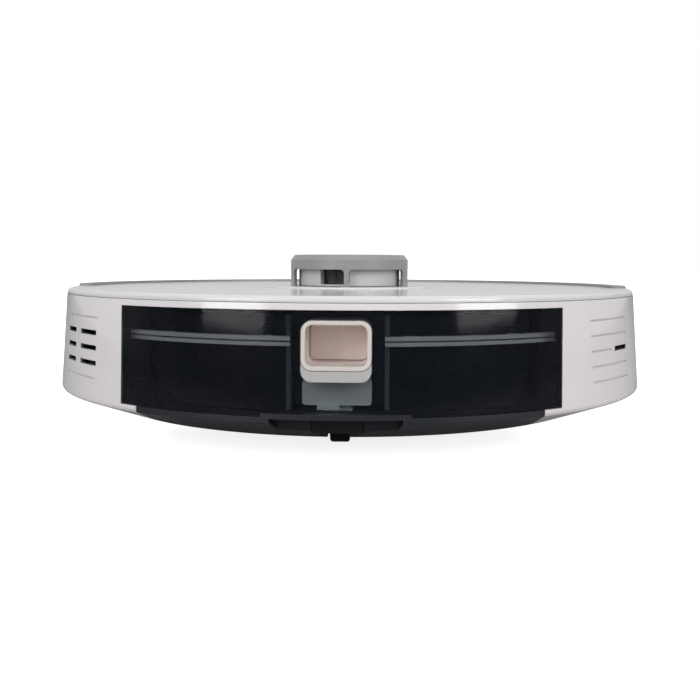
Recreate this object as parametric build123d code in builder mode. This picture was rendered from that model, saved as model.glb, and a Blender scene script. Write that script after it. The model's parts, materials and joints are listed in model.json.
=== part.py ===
"""Robot vacuum cleaner with a rear dust bin and a laser turret.

Millimetres. +Z is up, the floor is Z = 0, +Y is the driving direction and
+X is the right-hand side. The axis of the round body is the Z axis.
"""

import math
import os

from build123d import *

os.makedirs("parts", exist_ok=True)

# ---------------------------------------------------------------- body outline
TOP_Z = 78.0            # top face of the cover plate
TOP_R = 171.9           # wall radius at the top
WALL_LOW_Z = 20.8       # where the wall turns into the lower slope
WALL_LOW_R = 176.5      # widest radius
BASE_Z = 9.0            # underside
BASE_R = 143.8          # radius of the flat underside
WALL = 2.4              # shell thickness
PLATE = 2.6             # base plate thickness
COVER_T = 3.0           # cover plate thickness

# ---------------------------------------------------------------- bumper
BUMPER_END_Y = -12.0
SKIRT_END_Y = -16.0
FRAME_R = 160.0
BUMPER_IN_R = 163.4
RIM_Z = 79.5

# ---------------------------------------------------------------- turret
TURRET_Y = -16.5
TURRET_R = 36.0
TURRET_TOP_Z = 97.6
WINDOW_LOW_Z = 78.85    # windows run right down to the collar
WINDOW_TOP_Z = 88.9
POSTS = (               # centre and half width, degrees from the rear
    (-0.6, 1.3),
    (78.2, 11.8),
    (144.0, 1.6),
    (216.0, 1.6),
    (281.8, 11.8),
)
COLLAR_R = 51.25
ROTOR_R = 31.0
ROTOR_LOW_Z = 79.2
LENS_TURN = -14.4       # direction of the laser pocket, degrees from the rear
LENS_Z = 85.6
LENSES = ((-4.6, 3.4), (4.3, 3.8))
PULLEY_R = 27.0
PINION_R = 5.4
PINION_X = 46.0

# ---------------------------------------------------------------- bin
COVER_X = 107.0         # half width of the smoked cover
COVER_LOW_Z = 24.0
COVER_TOP_Z = 71.3
TRAY_X = 97.6           # half width of the lower bin housing
BIN_X = 92.0
BIN_FRONT_Y = -76.5
BIN_R = 160.0
FLANGE_R = 164.0
FLANGE_X = 96.0
FLANGE_TIP_X = 106.0    # the flange is wider behind the cover
FLANGE_TIP_Y = -121.5
CHANNEL_X = 21.8
CHANNEL_Y = -140.5
PORT_W = 31.7
PORT_H = 22.4
PORT_Z = 55.9
PORT_WALL = 2.0
PORT_END_Y = -142.0

# ---------------------------------------------------------------- side grooves
GROOVE_START = 46.0     # degrees from the rear
GROOVE_END = 60.4
GROOVE_TOP_Z = 64.4
GROOVE_PITCH = 7.75
GROOVE_H = 0.8
GROOVE_DEPTH = 0.8
SLOT_H = 2.5

# ---------------------------------------------------------------- drive
WHEEL_R = 32.0
WHEEL_Z = 32.0
WHEEL_IN_X = 104.0
WHEEL_OUT_X = 123.0
PIVOT_Y = 48.0
PIVOT_Z = 38.0
PIVOT_R = 2.5
WELL_IN_X = 80.8
WELL_OUT_X = 126.0
WELL_BACK_Y = -37.0
WELL_FRONT_Y = 62.0
WELL_TOP_Z = 67.0
THIN = 1.6

# ---------------------------------------------------------------- main brush
BRUSH_Y = -42.0
BRUSH_Z = 20.0
BRUSH_R = 16.5
BRUSH_X = 71.0
CHAMBER_R = 18.6
CHAMBER_X = 75.5
GUARD_X = 78.0
GUARD_BACK_Y = -66.0
GUARD_FRONT_Y = -18.4
GUARD_T = 2.3

# ---------------------------------------------------------------- caster, side brush
CASTER_Y = 118.0
CASTER_TRAIL = 8.0
CASTER_R = 12.0
SIDE_BRUSH = 98.0
SIDE_BRUSH_REACH = 58.0

# ---------------------------------------------------------------- fan
FAN_X = -124.5
FAN_Y = -78.0
FAN_R = 23.0
IMPELLER_R = 19.0


def wall_radius(height):
    """Radius of the outer wall at a height above its lower corner."""
    share = (TOP_Z - height) / (TOP_Z - WALL_LOW_Z)
    return TOP_R + share * (WALL_LOW_R - TOP_R)


def radial_plane(angle):
    """Upright plane through the Z axis, angle in degrees from the rear towards +X."""
    turn = math.radians(angle)
    return Plane(
        origin=(0, 0, 0),
        x_dir=(math.sin(turn), -math.cos(turn), 0),
        z_dir=(-math.cos(turn), -math.sin(turn), 0),
    )


def save(solid, name):
    """Label a finished sub-part and write its STEP file."""
    solid.label = name
    export_step(solid, f"parts/{name}.step")


def outline_points(inset=0.0, low_z=BASE_Z, high_z=TOP_Z):
    """Half outline of the body from the axis out, moved inwards by inset."""
    return [
        (0, low_z),
        (BASE_R, low_z),
        (WALL_LOW_R - inset, WALL_LOW_Z),
        (wall_radius(high_z) - inset, high_z),
        (0, high_z),
    ]


# ================================================================ outer shells
def make_skirt():
    """White wall around the rear and the sides, with vents and grooves."""
    with BuildPart() as skirt:
        with BuildSketch(Plane.XZ):
            Polygon(
                (BASE_R, BASE_Z),
                (WALL_LOW_R, WALL_LOW_Z),
                (wall_radius(74.8), 74.8),
                (wall_radius(74.8) - WALL, 74.8),
                (WALL_LOW_R - WALL, WALL_LOW_Z + 1.6),
                (BASE_R, BASE_Z + PLATE),
                align=None,
            )
        revolve(axis=Axis.Z)
        corner = skirt.edges().filter_by(GeomType.CIRCLE).group_by(lambda e: e.radius)[-1]
        fillet(corner, radius=2.5)
        # closing webs where the wall meets the bumper
        with BuildSketch(Plane.XZ.offset(-SKIRT_END_Y)):
            Polygon(
                (160.2, 15.6),
                (174.8, 21.5),
                (171.0, 74.8),
                (160.2, 74.8),
                align=None,
            )
            Polygon(
                (-160.2, 15.6),
                (-174.8, 21.5),
                (-171.0, 74.8),
                (-160.2, 74.8),
                align=None,
            )
        extrude(amount=2.2)
        # open front
        with Locations((0, SKIRT_END_Y + 200, 50)):
            Box(400, 400, 120, mode=Mode.SUBTRACT)
        # opening for the bin
        with Locations((0, -150, (COVER_LOW_Z - 0.4 + COVER_TOP_Z + 0.4) / 2)):
            Box(2 * COVER_X + 0.8, 100, COVER_TOP_Z - COVER_LOW_Z + 0.8, mode=Mode.SUBTRACT)
        with Locations((0, -150, 14)):
            Box(2 * TRAY_X + 0.8, 150, 22, mode=Mode.SUBTRACT)
        # shallow grooves
        for side in (-1, 1):
            for row in range(5):
                is_vent = side < 0 and row in (1, 2, 3)
                if is_vent:
                    continue
                height = GROOVE_TOP_Z - row * GROOVE_PITCH
                start = GROOVE_START
                end = GROOVE_END
                if side > 0 and row == 2:
                    end = GROOVE_START + 7.0
                first = start if side > 0 else -end
                last = end if side > 0 else -start
                with BuildSketch(radial_plane(first)):
                    with Locations((wall_radius(height), height)):
                        Rectangle(2 * GROOVE_DEPTH, GROOVE_H)
                revolve(axis=Axis.Z, revolution_arc=last - first, mode=Mode.SUBTRACT)
        # through slots: the exhaust on the left, the sound slot on the right
        slots = []
        for row in (1, 2, 3):
            slots.append((-138.2, -125.2, -112, row))
            slots.append((-151.3, -142.9, -94, row))
        slots.append((141.7, 151.3, -94, 2))
        for low_x, high_x, middle_y, row in slots:
            height = GROOVE_TOP_Z - row * GROOVE_PITCH
            with Locations(((low_x + high_x) / 2, middle_y, height)):
                Box(high_x - low_x, 36, SLOT_H, mode=Mode.SUBTRACT)
    save(skirt.part, "skirt_shell")


def make_bumper():
    """Grey front bumper with a raised rim and a slot for the sensor window."""
    with BuildPart() as bumper:
        with BuildSketch(Plane.XZ):
            Polygon(
                (165.0, 16.65),
                (WALL_LOW_R, WALL_LOW_Z),
                (TOP_R, 77.6),
                (TOP_R - 1.2, RIM_Z),
                (BUMPER_IN_R, RIM_Z),
                (BUMPER_IN_R, 76.4),
                (168.8, 76.4),
                (WALL_LOW_R - 3.0, 22.8),
                (165.0, 19.6),
                align=None,
            )
        revolve(axis=Axis.Z)
        corner = bumper.edges().filter_by(GeomType.CIRCLE).group_by(lambda e: e.radius)[-1]
        fillet(corner, radius=2.5)
        # end webs
        with BuildSketch(Plane.XZ.offset(-BUMPER_END_Y)):
            Polygon((165.5, 18.0), (174.6, 21.5), (170.3, 77.0), (165.5, 77.0), align=None)
            Polygon((-165.5, 18.0), (-174.6, 21.5), (-170.3, 77.0), (-165.5, 77.0), align=None)
        extrude(amount=-2.4)
        with Locations((0, BUMPER_END_Y - 200, 50)):
            Box(400, 400, 120, mode=Mode.SUBTRACT)
        # window opening across the front
        with BuildSketch(radial_plane(180 - 52)):
            with Locations((172, 50)):
                Rectangle(16, 22)
        revolve(axis=Axis.Z, revolution_arc=104, mode=Mode.SUBTRACT)
    save(bumper.part, "bumper")


def make_bumper_window():
    """Dark band in the bumper that the obstacle sensors look through."""
    low = 50 - 10.9
    high = 50 + 10.9
    with BuildPart() as window:
        with BuildSketch(radial_plane(180 - 51.9)):
            Polygon(
                (wall_radius(low) - 0.3, low),
                (wall_radius(high) - 0.3, high),
                (wall_radius(high) - 2.3, high),
                (wall_radius(low) - 2.3, low),
                align=None,
            )
        revolve(axis=Axis.Z, revolution_arc=103.8)
    save(window.part, "bumper_window")


def make_top_cover():
    """White cover plate with the turret opening and the button holes."""
    with BuildPart() as cover:
        with BuildSketch(Plane.XY.offset(TOP_Z - COVER_T)):
            Circle(TOP_R)
            with Locations((0, SKIRT_END_Y + 200)):
                Rectangle(400, 400, mode=Mode.SUBTRACT)
            Circle(FRAME_R - 0.4)
        extrude(amount=COVER_T)
        rims = cover.faces().sort_by(Axis.Z)[-1].edges().filter_by(GeomType.CIRCLE)
        fillet(rims.group_by(lambda e: e.radius)[-1], radius=2.2)
        with BuildSketch(Plane.XY.offset(TOP_Z - COVER_T)):
            with Locations((0, TURRET_Y)):
                Circle(31.5)
            with Locations((-13, 95)):
                Circle(8.6)
            with Locations((13, 95)):
                Circle(6.3)
        extrude(amount=COVER_T, mode=Mode.SUBTRACT)
    save(cover.part, "top_cover")


# ================================================================ turret
def make_collar():
    """Low white disc that the turret stands on."""
    with BuildPart() as collar:
        with BuildSketch(Plane.XZ.offset(-TURRET_Y)):
            Polygon(
                (32.0, TOP_Z),
                (COLLAR_R, TOP_Z),
                (COLLAR_R - 1.0, TOP_Z + 0.9),
                (32.0, TOP_Z + 0.9),
                align=None,
            )
        revolve(axis=Axis(origin=(0, TURRET_Y, 0), direction=(0, 0, 1)))
    save(collar.part, "lidar_collar")


def make_turret_cap():
    """Grey turret: a cap on slim posts over the spinning head."""
    low = TOP_Z + 0.9
    with BuildPart() as cap:
        with BuildSketch(Plane.XY.offset(low)):
            with Locations((0, TURRET_Y)):
                Circle(TURRET_R)
        extrude(amount=TURRET_TOP_Z - low)
        chamfer(cap.faces().sort_by(Axis.Z)[-1].edges(), length=3.0, length2=2.4)
        with BuildSketch(Plane.XY.offset(low)):
            with Locations((0, TURRET_Y)):
                Circle(TURRET_R - 2.2)
        extrude(amount=TURRET_TOP_Z - low - 2.2, mode=Mode.SUBTRACT)
        # windows between the posts
        for number, (centre, half) in enumerate(POSTS):
            after, after_half = POSTS[(number + 1) % len(POSTS)]
            start = centre + half
            end = after - after_half
            if end < start:
                end += 360
            turn = math.radians((start + end) / 2)
            span = 2 * (TURRET_R - 1.1) * math.sin(math.radians((end - start) / 2))
            plane = Plane(
                origin=(0, TURRET_Y, WINDOW_LOW_Z),
                x_dir=(math.cos(turn), math.sin(turn), 0),
                z_dir=(math.sin(turn), -math.cos(turn), 0),
            )
            with BuildSketch(plane):
                with Locations((0, (WINDOW_TOP_Z - WINDOW_LOW_Z) / 2)):
                    RectangleRounded(span, WINDOW_TOP_Z - WINDOW_LOW_Z, 2.0)
            extrude(amount=60, mode=Mode.SUBTRACT)
    save(cap.part, "turret_cap")


def make_lidar_head():
    """Spinning head with two barrels, a neck and a belt groove under the cover."""
    spin = Axis(origin=(0, TURRET_Y, 0), direction=(0, 0, 1))
    with BuildPart() as head:
        with BuildSketch(Plane.XZ.offset(-TURRET_Y)):
            Polygon(
                (0, 92.6),
                (ROTOR_R - 2, 92.6),
                (ROTOR_R, 91.0),
                (ROTOR_R, ROTOR_LOW_Z),
                (22.0, ROTOR_LOW_Z),
                (22.0, 71.6),
                (PULLEY_R + 1.2, 71.6),
                (PULLEY_R + 1.2, 70.8),
                (PULLEY_R, 70.4),
                (PULLEY_R, 67.8),
                (PULLEY_R + 1.2, 67.4),
                (PULLEY_R + 1.2, 66.6),
                (14.0, 66.6),
                (14.0, 72.0),
                (6.05, 72.0),
                (6.05, 84.0),
                (0, 84.0),
                align=None,
            )
        revolve(axis=spin)
        # pocket with the laser and the receiver, looking to the rear
        turn = math.radians(LENS_TURN)
        outward = (math.sin(turn), -math.cos(turn), 0)
        sideways = (math.cos(turn), math.sin(turn), 0)
        pocket = Plane(
            origin=(21.5 * outward[0], TURRET_Y + 21.5 * outward[1], LENS_Z),
            x_dir=sideways,
            z_dir=outward,
        )
        with BuildSketch(pocket):
            RectangleRounded(17.8, 11.0, 1.2)
        extrude(amount=20, mode=Mode.SUBTRACT)
        barrels = pocket.offset(-11.5)
        with BuildSketch(barrels):
            for shift, radius in LENSES:
                with Locations((shift, 0)):
                    Circle(radius)
        extrude(amount=12, mode=Mode.SUBTRACT)
    save(head.part, "lidar_head")
    with BuildPart() as lenses:
        with BuildSketch(pocket):
            RectangleRounded(17.4, 10.6, 1.0)
        extrude(amount=1.2)
        with BuildSketch(barrels):
            for shift, radius in LENSES:
                with Locations((shift, 0)):
                    Circle(radius)
        extrude(amount=14)
    save(lenses.part, "lidar_lenses")


def make_lidar_base():
    """Fixed plate with the spindle, the little motor, its pinion and the belt."""
    with BuildPart() as base:
        with BuildSketch(Plane.XY.offset(60)):
            with Locations((0, TURRET_Y)):
                Circle(36)
            with Locations((PINION_X, TURRET_Y)):
                Circle(13)
            make_hull()
        extrude(amount=3)
        with BuildSketch(Plane.XY.offset(63)):
            with Locations((0, TURRET_Y)):
                Circle(12)
        extrude(amount=7.5)
        with BuildSketch(Plane.XY.offset(60)):
            with Locations((0, TURRET_Y)):
                Circle(6)
        extrude(amount=23.5)
        with BuildSketch(Plane.XY.offset(60)):
            with Locations((0, TURRET_Y)):
                Circle(3)
        extrude(amount=23.5, mode=Mode.SUBTRACT)
        with BuildSketch(Plane.XY.offset(60)):
            with Locations((PINION_X, TURRET_Y)):
                Circle(2.4)
        extrude(amount=3, mode=Mode.SUBTRACT)
    save(base.part, "lidar_base")
    with BuildPart() as motor:
        with BuildSketch(Plane.XY.offset(45)):
            with Locations((PINION_X, TURRET_Y)):
                Circle(8.5)
        extrude(amount=14.8)
        chamfer(motor.faces().sort_by(Axis.Z)[0].edges(), length=0.8)
    save(motor.part, "lidar_motor")
    with BuildPart() as pinion:
        with BuildSketch(Plane.XY.offset(67.4)):
            with Locations((PINION_X, TURRET_Y)):
                Circle(PINION_R)
        extrude(amount=3.4)
        with BuildSketch(Plane.XY.offset(66.4)):
            with Locations((PINION_X, TURRET_Y)):
                Circle(PINION_R + 1.0)
        extrude(amount=1.0)
        with BuildSketch(Plane.XY.offset(60)):
            with Locations((PINION_X, TURRET_Y)):
                Circle(1.0)
        extrude(amount=6.4)
    save(pinion.part, "lidar_pinion")
    with BuildPart() as belt:
        with BuildSketch(Plane.XY.offset(68.2)):
            with Locations((0, TURRET_Y)):
                Circle(PULLEY_R + 1.1)
            with Locations((PINION_X, TURRET_Y)):
                Circle(PINION_R + 1.1)
            make_hull()
        extrude(amount=1.8)
        with BuildSketch(Plane.XY.offset(68.2)):
            with Locations((0, TURRET_Y)):
                Circle(PULLEY_R + 0.1)
            with Locations((PINION_X, TURRET_Y)):
                Circle(PINION_R + 0.1)
            make_hull()
        extrude(amount=1.8, mode=Mode.SUBTRACT)
    save(belt.part, "lidar_belt")


# ================================================================ base
def make_base():
    """Base plate with the wheel wells, the brush chamber and the caster well."""
    with BuildPart() as base:
        with BuildSketch(Plane.XY.offset(BASE_Z)):
            Circle(BASE_R - 0.2)
            with Locations((0, -124)):
                Rectangle(2 * TRAY_X + 0.8, 99, mode=Mode.SUBTRACT)
            with Locations((0, (GUARD_BACK_Y + GUARD_FRONT_Y) / 2)):
                Rectangle(
                    2 * GUARD_X + 0.8,
                    GUARD_FRONT_Y - GUARD_BACK_Y + 0.8,
                    mode=Mode.SUBTRACT,
                )
            with Locations((0, 55.5)):
                Rectangle(84.6, 75.6, mode=Mode.SUBTRACT)
        extrude(amount=PLATE)
        # wheel wells
        for side in (-1, 1):
            middle_x = side * (WELL_IN_X + WELL_OUT_X) / 2
            middle_y = (WELL_BACK_Y + WELL_FRONT_Y) / 2
            wide = WELL_OUT_X - WELL_IN_X
            deep = WELL_FRONT_Y - WELL_BACK_Y
            with BuildSketch(Plane.XY.offset(BASE_Z)):
                with Locations((middle_x, middle_y)):
                    Rectangle(wide + 2 * THIN, deep + 2 * THIN)
            extrude(amount=WELL_TOP_Z + THIN - BASE_Z)
            with BuildSketch(Plane.XY.offset(BASE_Z)):
                with Locations((middle_x, middle_y)):
                    Rectangle(wide, deep)
            extrude(amount=WELL_TOP_Z - BASE_Z, mode=Mode.SUBTRACT)
        # brush chamber: an arched tunnel across the machine, with a throat to the bin
        with BuildSketch(Plane.YZ.offset(-CHAMBER_X - THIN)):
            with Locations((BRUSH_Y, BRUSH_Z)):
                Circle(CHAMBER_R + THIN)
            with Locations((BRUSH_Y, (BRUSH_Z + 11.6) / 2)):
                Rectangle(2 * (CHAMBER_R + THIN), BRUSH_Z - 11.6)
            with Locations((BRUSH_Y, BASE_Z + PLATE - 10)):
                Rectangle(60, 20, mode=Mode.SUBTRACT)
        extrude(amount=2 * (CHAMBER_X + THIN))
        with BuildSketch(Plane.XY.offset(BASE_Z + PLATE)):
            with Locations((0, (GUARD_BACK_Y + GUARD_FRONT_Y) / 2)):
                Rectangle(2 * GUARD_X + 4, GUARD_FRONT_Y - GUARD_BACK_Y + 6)
        extrude(amount=THIN)
        with BuildSketch(Plane.YZ.offset(-37)):
            with Locations((-67.6, 35.5)):
                Rectangle(12.4, 22)
        extrude(amount=74)
        with BuildSketch(Plane.YZ.offset(-CHAMBER_X)):
            with Locations((BRUSH_Y, BRUSH_Z)):
                Circle(CHAMBER_R)
            with Locations((BRUSH_Y, (BRUSH_Z + 8) / 2)):
                Rectangle(2 * CHAMBER_R, BRUSH_Z - 8)
        extrude(amount=2 * CHAMBER_X, mode=Mode.SUBTRACT)
        with BuildSketch(Plane.YZ.offset(-35.4)):
            with Locations((-66, 35)):
                Rectangle(20, 16)
        extrude(amount=70.8, mode=Mode.SUBTRACT)
        for side in (-1, 1):
            with Locations((side * (WELL_IN_X + WELL_OUT_X) / 2, 12.5, 38)):
                Box(WELL_OUT_X - WELL_IN_X, 99, 58, mode=Mode.SUBTRACT)
        # end bearings of the brush
        for start in (-CHAMBER_X, CHAMBER_X - 3.4):
            with BuildSketch(Plane.YZ.offset(start)):
                with Locations((BRUSH_Y, BRUSH_Z)):
                    Circle(8)
                    Circle(2.56, mode=Mode.SUBTRACT)
                with Locations((BRUSH_Y, BRUSH_Z + 13.5)):
                    Rectangle(9, 12)
            extrude(amount=3.4)
        # inner front wall that the bumper floats around
        lean = math.degrees(math.asin((-SKIRT_END_Y - 0.4) / FRAME_R))
        with BuildSketch(radial_plane(90 - lean)):
            Polygon(
                (BASE_R - 2, BASE_Z),
                (BASE_R, BASE_Z),
                (FRAME_R, 14.9),
                (FRAME_R, 74.8),
                (FRAME_R - WALL, 74.8),
                (FRAME_R - WALL, 17.0),
                (BASE_R, BASE_Z + PLATE),
                (BASE_R - 2, BASE_Z + PLATE),
                align=None,
            )
        revolve(axis=Axis.Z, revolution_arc=180 + 2 * lean)
        # caster well and its boss
        with BuildSketch(Plane.XY.offset(BASE_Z)):
            with Locations((0, CASTER_Y)):
                Circle(24.8)
        extrude(amount=22.6)
        with BuildSketch(Plane.XY.offset(BASE_Z)):
            with Locations((0, CASTER_Y)):
                Circle(23.2)
        extrude(amount=21, mode=Mode.SUBTRACT)
        with BuildSketch(Plane.XY.offset(31)):
            with Locations((0, CASTER_Y)):
                Circle(8)
        extrude(amount=14)
        with BuildSketch(Plane.XY.offset(28)):
            with Locations((0, CASTER_Y)):
                Circle(4.06)
        extrude(amount=15.5, mode=Mode.SUBTRACT)
        # hole for the side brush shaft, sensor windows, contacts and screws
        with BuildSketch(Plane.XY.offset(BASE_Z)):
            with Locations((SIDE_BRUSH, SIDE_BRUSH)):
                Circle(3.0)
            with Locations((-62, 118), (62, 118), (-134, 6), (134, 6)):
                Rectangle(12.2, 8.2)
            with Locations((-112, -72), (112, -72)):
                Rectangle(18.2, 8.2)
            with Locations(*SCREW_SPOTS):
                Circle(3.0)
        extrude(amount=PLATE, mode=Mode.SUBTRACT)
    save(base.part, "base_tray")


SCREW_SPOTS = [
    (-104, 88),
    (72, 88),
    (-104, -50),
    (104, -50),
    (-60, 30),
    (60, 30),
    (-30, 134),
    (30, 134),
]


def make_battery():
    """Battery door and the sealed battery pack above it."""
    with BuildPart() as door:
        with BuildSketch(Plane.XY.offset(BASE_Z)):
            with Locations((0, 55.5)):
                Rectangle(84, 75)
        extrude(amount=2.4)
        chamfer(door.faces().sort_by(Axis.Z)[0].edges(), length=0.5)
        with BuildSketch(Plane.XY.offset(BASE_Z)):
            with Locations((-36, 55.5), (36, 55.5)):
                Circle(3.0)
        extrude(amount=2.4, mode=Mode.SUBTRACT)
    save(door.part, "battery_door")
    with BuildPart() as case:
        with Locations((0, 55.5, 32.5)):
            Box(77, 70, 39)
        fillet(case.edges().filter_by(Axis.Z), radius=4)
    save(case.part, "battery_case")


# ================================================================ drive modules
def make_drive(side, name):
    """Suspension arm with its gear motor, wheel hub and tyre."""
    with BuildPart() as arm:
        with BuildSketch(Plane.YZ.offset(86)):
            with Locations((0, WHEEL_Z)):
                Circle(13)
            with Locations((PIVOT_Y, PIVOT_Z)):
                Circle(9)
            make_hull()
        extrude(amount=15)
        fillet(arm.faces().sort_by(Axis.X)[-1].edges(), radius=1.5)
        with Locations((93, 33, 47)):
            Box(12, 24, 6)
        with BuildSketch(Plane.YZ.offset(80)):
            with Locations((PIVOT_Y, PIVOT_Z)):
                Circle(PIVOT_R + 0.05)
            with Locations((0, WHEEL_Z)):
                Circle(3.05)
        extrude(amount=30, mode=Mode.SUBTRACT)
        # motor can along the top of the gear case
        with BuildSketch(Plane.XZ.offset(-16)):
            with Locations((93, 57.0)):
                Circle(7.8)
        extrude(amount=-34)
        if side < 0:
            mirror(about=Plane.YZ, mode=Mode.REPLACE)
    save(arm.part, f"drive_arm_{name}")
    with BuildPart() as hub:
        with BuildSketch(Plane.YZ.offset(WHEEL_IN_X)):
            with Locations((0, WHEEL_Z)):
                Circle(25)
        extrude(amount=WHEEL_OUT_X - WHEEL_IN_X - 1)
        with BuildSketch(Plane.YZ.offset(WHEEL_IN_X + 13)):
            with Locations((0, WHEEL_Z)):
                Circle(21)
                Circle(7, mode=Mode.SUBTRACT)
        extrude(amount=10, mode=Mode.SUBTRACT)
        for number in range(5):
            angle = number * 72
            with BuildSketch(Plane.YZ.offset(WHEEL_IN_X + 12)):
                with Locations((0, WHEEL_Z)):
                    with PolarLocations(14, 1, start_angle=angle):
                        Rectangle(15.2, 3.2)
            extrude(amount=5)
        with BuildSketch(Plane.YZ.offset(87)):
            with Locations((0, WHEEL_Z)):
                Circle(3.0)
        extrude(amount=WHEEL_IN_X - 87)
        if side < 0:
            mirror(about=Plane.YZ, mode=Mode.REPLACE)
    save(hub.part, f"wheel_hub_{name}")
    with BuildPart() as tyre:
        with BuildSketch(Plane.YZ.offset(WHEEL_IN_X)):
            with Locations((0, WHEEL_Z)):
                Circle(WHEEL_R)
        extrude(amount=WHEEL_OUT_X - WHEEL_IN_X)
        chamfer(tyre.edges().filter_by(GeomType.CIRCLE), length=1.4)
        with BuildSketch(Plane.YZ.offset(WHEEL_IN_X - 1)):
            with Locations((0, WHEEL_Z)):
                Circle(25)
        extrude(amount=30, mode=Mode.SUBTRACT)
        with BuildSketch(Plane.YZ.offset(WHEEL_IN_X - 1)):
            with Locations((0, WHEEL_Z)):
                with PolarLocations(WHEEL_R + 0.2, 30):
                    Rectangle(3.4, 2.4)
        extrude(amount=30, mode=Mode.SUBTRACT)
        if side < 0:
            mirror(about=Plane.YZ, mode=Mode.REPLACE)
    save(tyre.part, f"tyre_{name}")

def make_pivots():
    """Pivot pins of the two suspension arms and the torsion springs on them."""
    with BuildPart() as pins:
        for start in (WELL_IN_X, -WELL_IN_X - 22):
            with BuildSketch(Plane.YZ.offset(start)):
                with Locations((PIVOT_Y, PIVOT_Z)):
                    Circle(PIVOT_R)
            extrude(amount=22)
    save(pins.part, "pivot_pins")
    with BuildPart() as springs:
        for middle in (83.4, -83.4):
            start = (middle - 1.8, PIVOT_Y, PIVOT_Z)
            with BuildLine():
                coil = Helix(pitch=1.2, height=3.6, radius=4.6, center=start, direction=(1, 0, 0))
            with BuildSketch(Plane(origin=coil @ 0, z_dir=coil % 0)):
                Circle(0.45)
            sweep()
    save(springs.part, "arm_springs")


# ================================================================ brushes
def make_main_brush():
    """Brush core, its bristle rows and the gear motor beside the chamber."""
    with BuildPart() as core:
        with BuildSketch(Plane.YZ.offset(-BRUSH_X)):
            with Locations((BRUSH_Y, BRUSH_Z)):
                Circle(7)
        extrude(amount=2 * BRUSH_X)
        with BuildSketch(Plane.YZ.offset(-74.5)):
            with Locations((BRUSH_Y, BRUSH_Z)):
                Circle(2.5)
        extrude(amount=149)
    save(core.part, "brush_core")
    with BuildPart() as rows:
        with BuildSketch(Plane.YZ.offset(-BRUSH_X + 1)):
            with Locations((BRUSH_Y, BRUSH_Z)):
                with PolarLocations(11.75, 6, start_angle=30):
                    Rectangle(9.5, 2.4)
        extrude(amount=2 * BRUSH_X - 2)
        with BuildSketch(Plane.YZ.offset(-BRUSH_X + 1)):
            with Locations((BRUSH_Y, BRUSH_Z)):
                Circle(7)
        extrude(amount=2 * BRUSH_X - 2, mode=Mode.SUBTRACT)
    save(rows.part, "brush_bristles")
    with BuildPart() as motor:
        with Locations((88, -56.5, 30)):
            Box(20, 33, 33)
        fillet(motor.edges().filter_by(Axis.X), radius=3)
    save(motor.part, "brush_motor")


def make_guard():
    """Hinged brush guard with its finger latch."""
    hinge_y = GUARD_FRONT_Y - GUARD_T / 2
    with BuildPart() as guard:
        with BuildSketch(Plane.XY.offset(BASE_Z)):
            with Locations((0, (GUARD_BACK_Y + hinge_y) / 2)):
                Rectangle(2 * GUARD_X, hinge_y - GUARD_BACK_Y)
            with Locations((0, BRUSH_Y)):
                RectangleRounded(2 * 72.5, 33, 3, mode=Mode.SUBTRACT)
            with Locations((0, -63.6)):
                Rectangle(20.6, 5.6, mode=Mode.SUBTRACT)
        extrude(amount=GUARD_T)
        # rounded front edge, which is the hinge
        with BuildSketch(Plane.YZ.offset(-GUARD_X)):
            with Locations((hinge_y, BASE_Z + GUARD_T / 2)):
                Circle(GUARD_T / 2)
        extrude(amount=2 * GUARD_X)
        # lead-in bars in front of and behind the brush
        with BuildSketch(Plane.XY.offset(BASE_Z - 1.4)):
            with Locations((0, -22.2), (0, -60.2)):
                Rectangle(110, 2.4)
        extrude(amount=1.4)
    save(guard.part, "brush_guard")
    with BuildPart() as latch:
        with Locations((0, -64.3, BASE_Z + 1.2)):
            Box(20, 3.8, 2)
        with Locations((0, -64.3, BASE_Z - 0.4)):
            Box(14, 1.6, 1.2)
    save(latch.part, "guard_latch")


def make_side_brush():
    """Three-armed side brush and its gear motor."""
    with BuildPart() as hub:
        with BuildSketch(Plane.XY.offset(4.4)):
            with Locations((SIDE_BRUSH, SIDE_BRUSH)):
                Circle(9.5)
        extrude(amount=4.0)
        fillet(hub.faces().sort_by(Axis.Z)[0].edges(), radius=1.4)
        with BuildSketch(Plane.XY.offset(8.0)):
            with Locations((SIDE_BRUSH, SIDE_BRUSH)):
                Circle(2.0)
        extrude(amount=12)
        with BuildSketch(Plane.XY.offset(4.8)):
            with Locations((SIDE_BRUSH, SIDE_BRUSH)):
                with PolarLocations(13, 3, start_angle=10):
                    Rectangle(12, 5)
        extrude(amount=2.4)
    save(hub.part, "side_brush_hub")
    with BuildPart() as bristles:
        with BuildSketch(Plane.XY.offset(4.2)):
            with Locations((SIDE_BRUSH, SIDE_BRUSH)):
                with PolarLocations((SIDE_BRUSH_REACH + 19.2) / 2, 3, start_angle=10):
                    Rectangle(SIDE_BRUSH_REACH - 19.2, 3.2)
        extrude(amount=2.2)
    save(bristles.part, "side_brush_bristles")
    with BuildPart() as motor:
        with BuildSketch(Plane.XY.offset(14.2)):
            with Locations((SIDE_BRUSH, SIDE_BRUSH)):
                Circle(11)
            with Locations((SIDE_BRUSH - 20, SIDE_BRUSH + 2)):
                Circle(9)
            make_hull()
        extrude(amount=11.6)
        with BuildSketch(Plane.XY.offset(25.8)):
            with Locations((SIDE_BRUSH - 18, SIDE_BRUSH + 2)):
                Circle(9)
        extrude(amount=20)
        with BuildSketch(Plane.XY.offset(14.2)):
            with Locations((SIDE_BRUSH, SIDE_BRUSH)):
                Circle(2.06)
        extrude(amount=6.6, mode=Mode.SUBTRACT)
    save(motor.part, "side_brush_motor")


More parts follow.
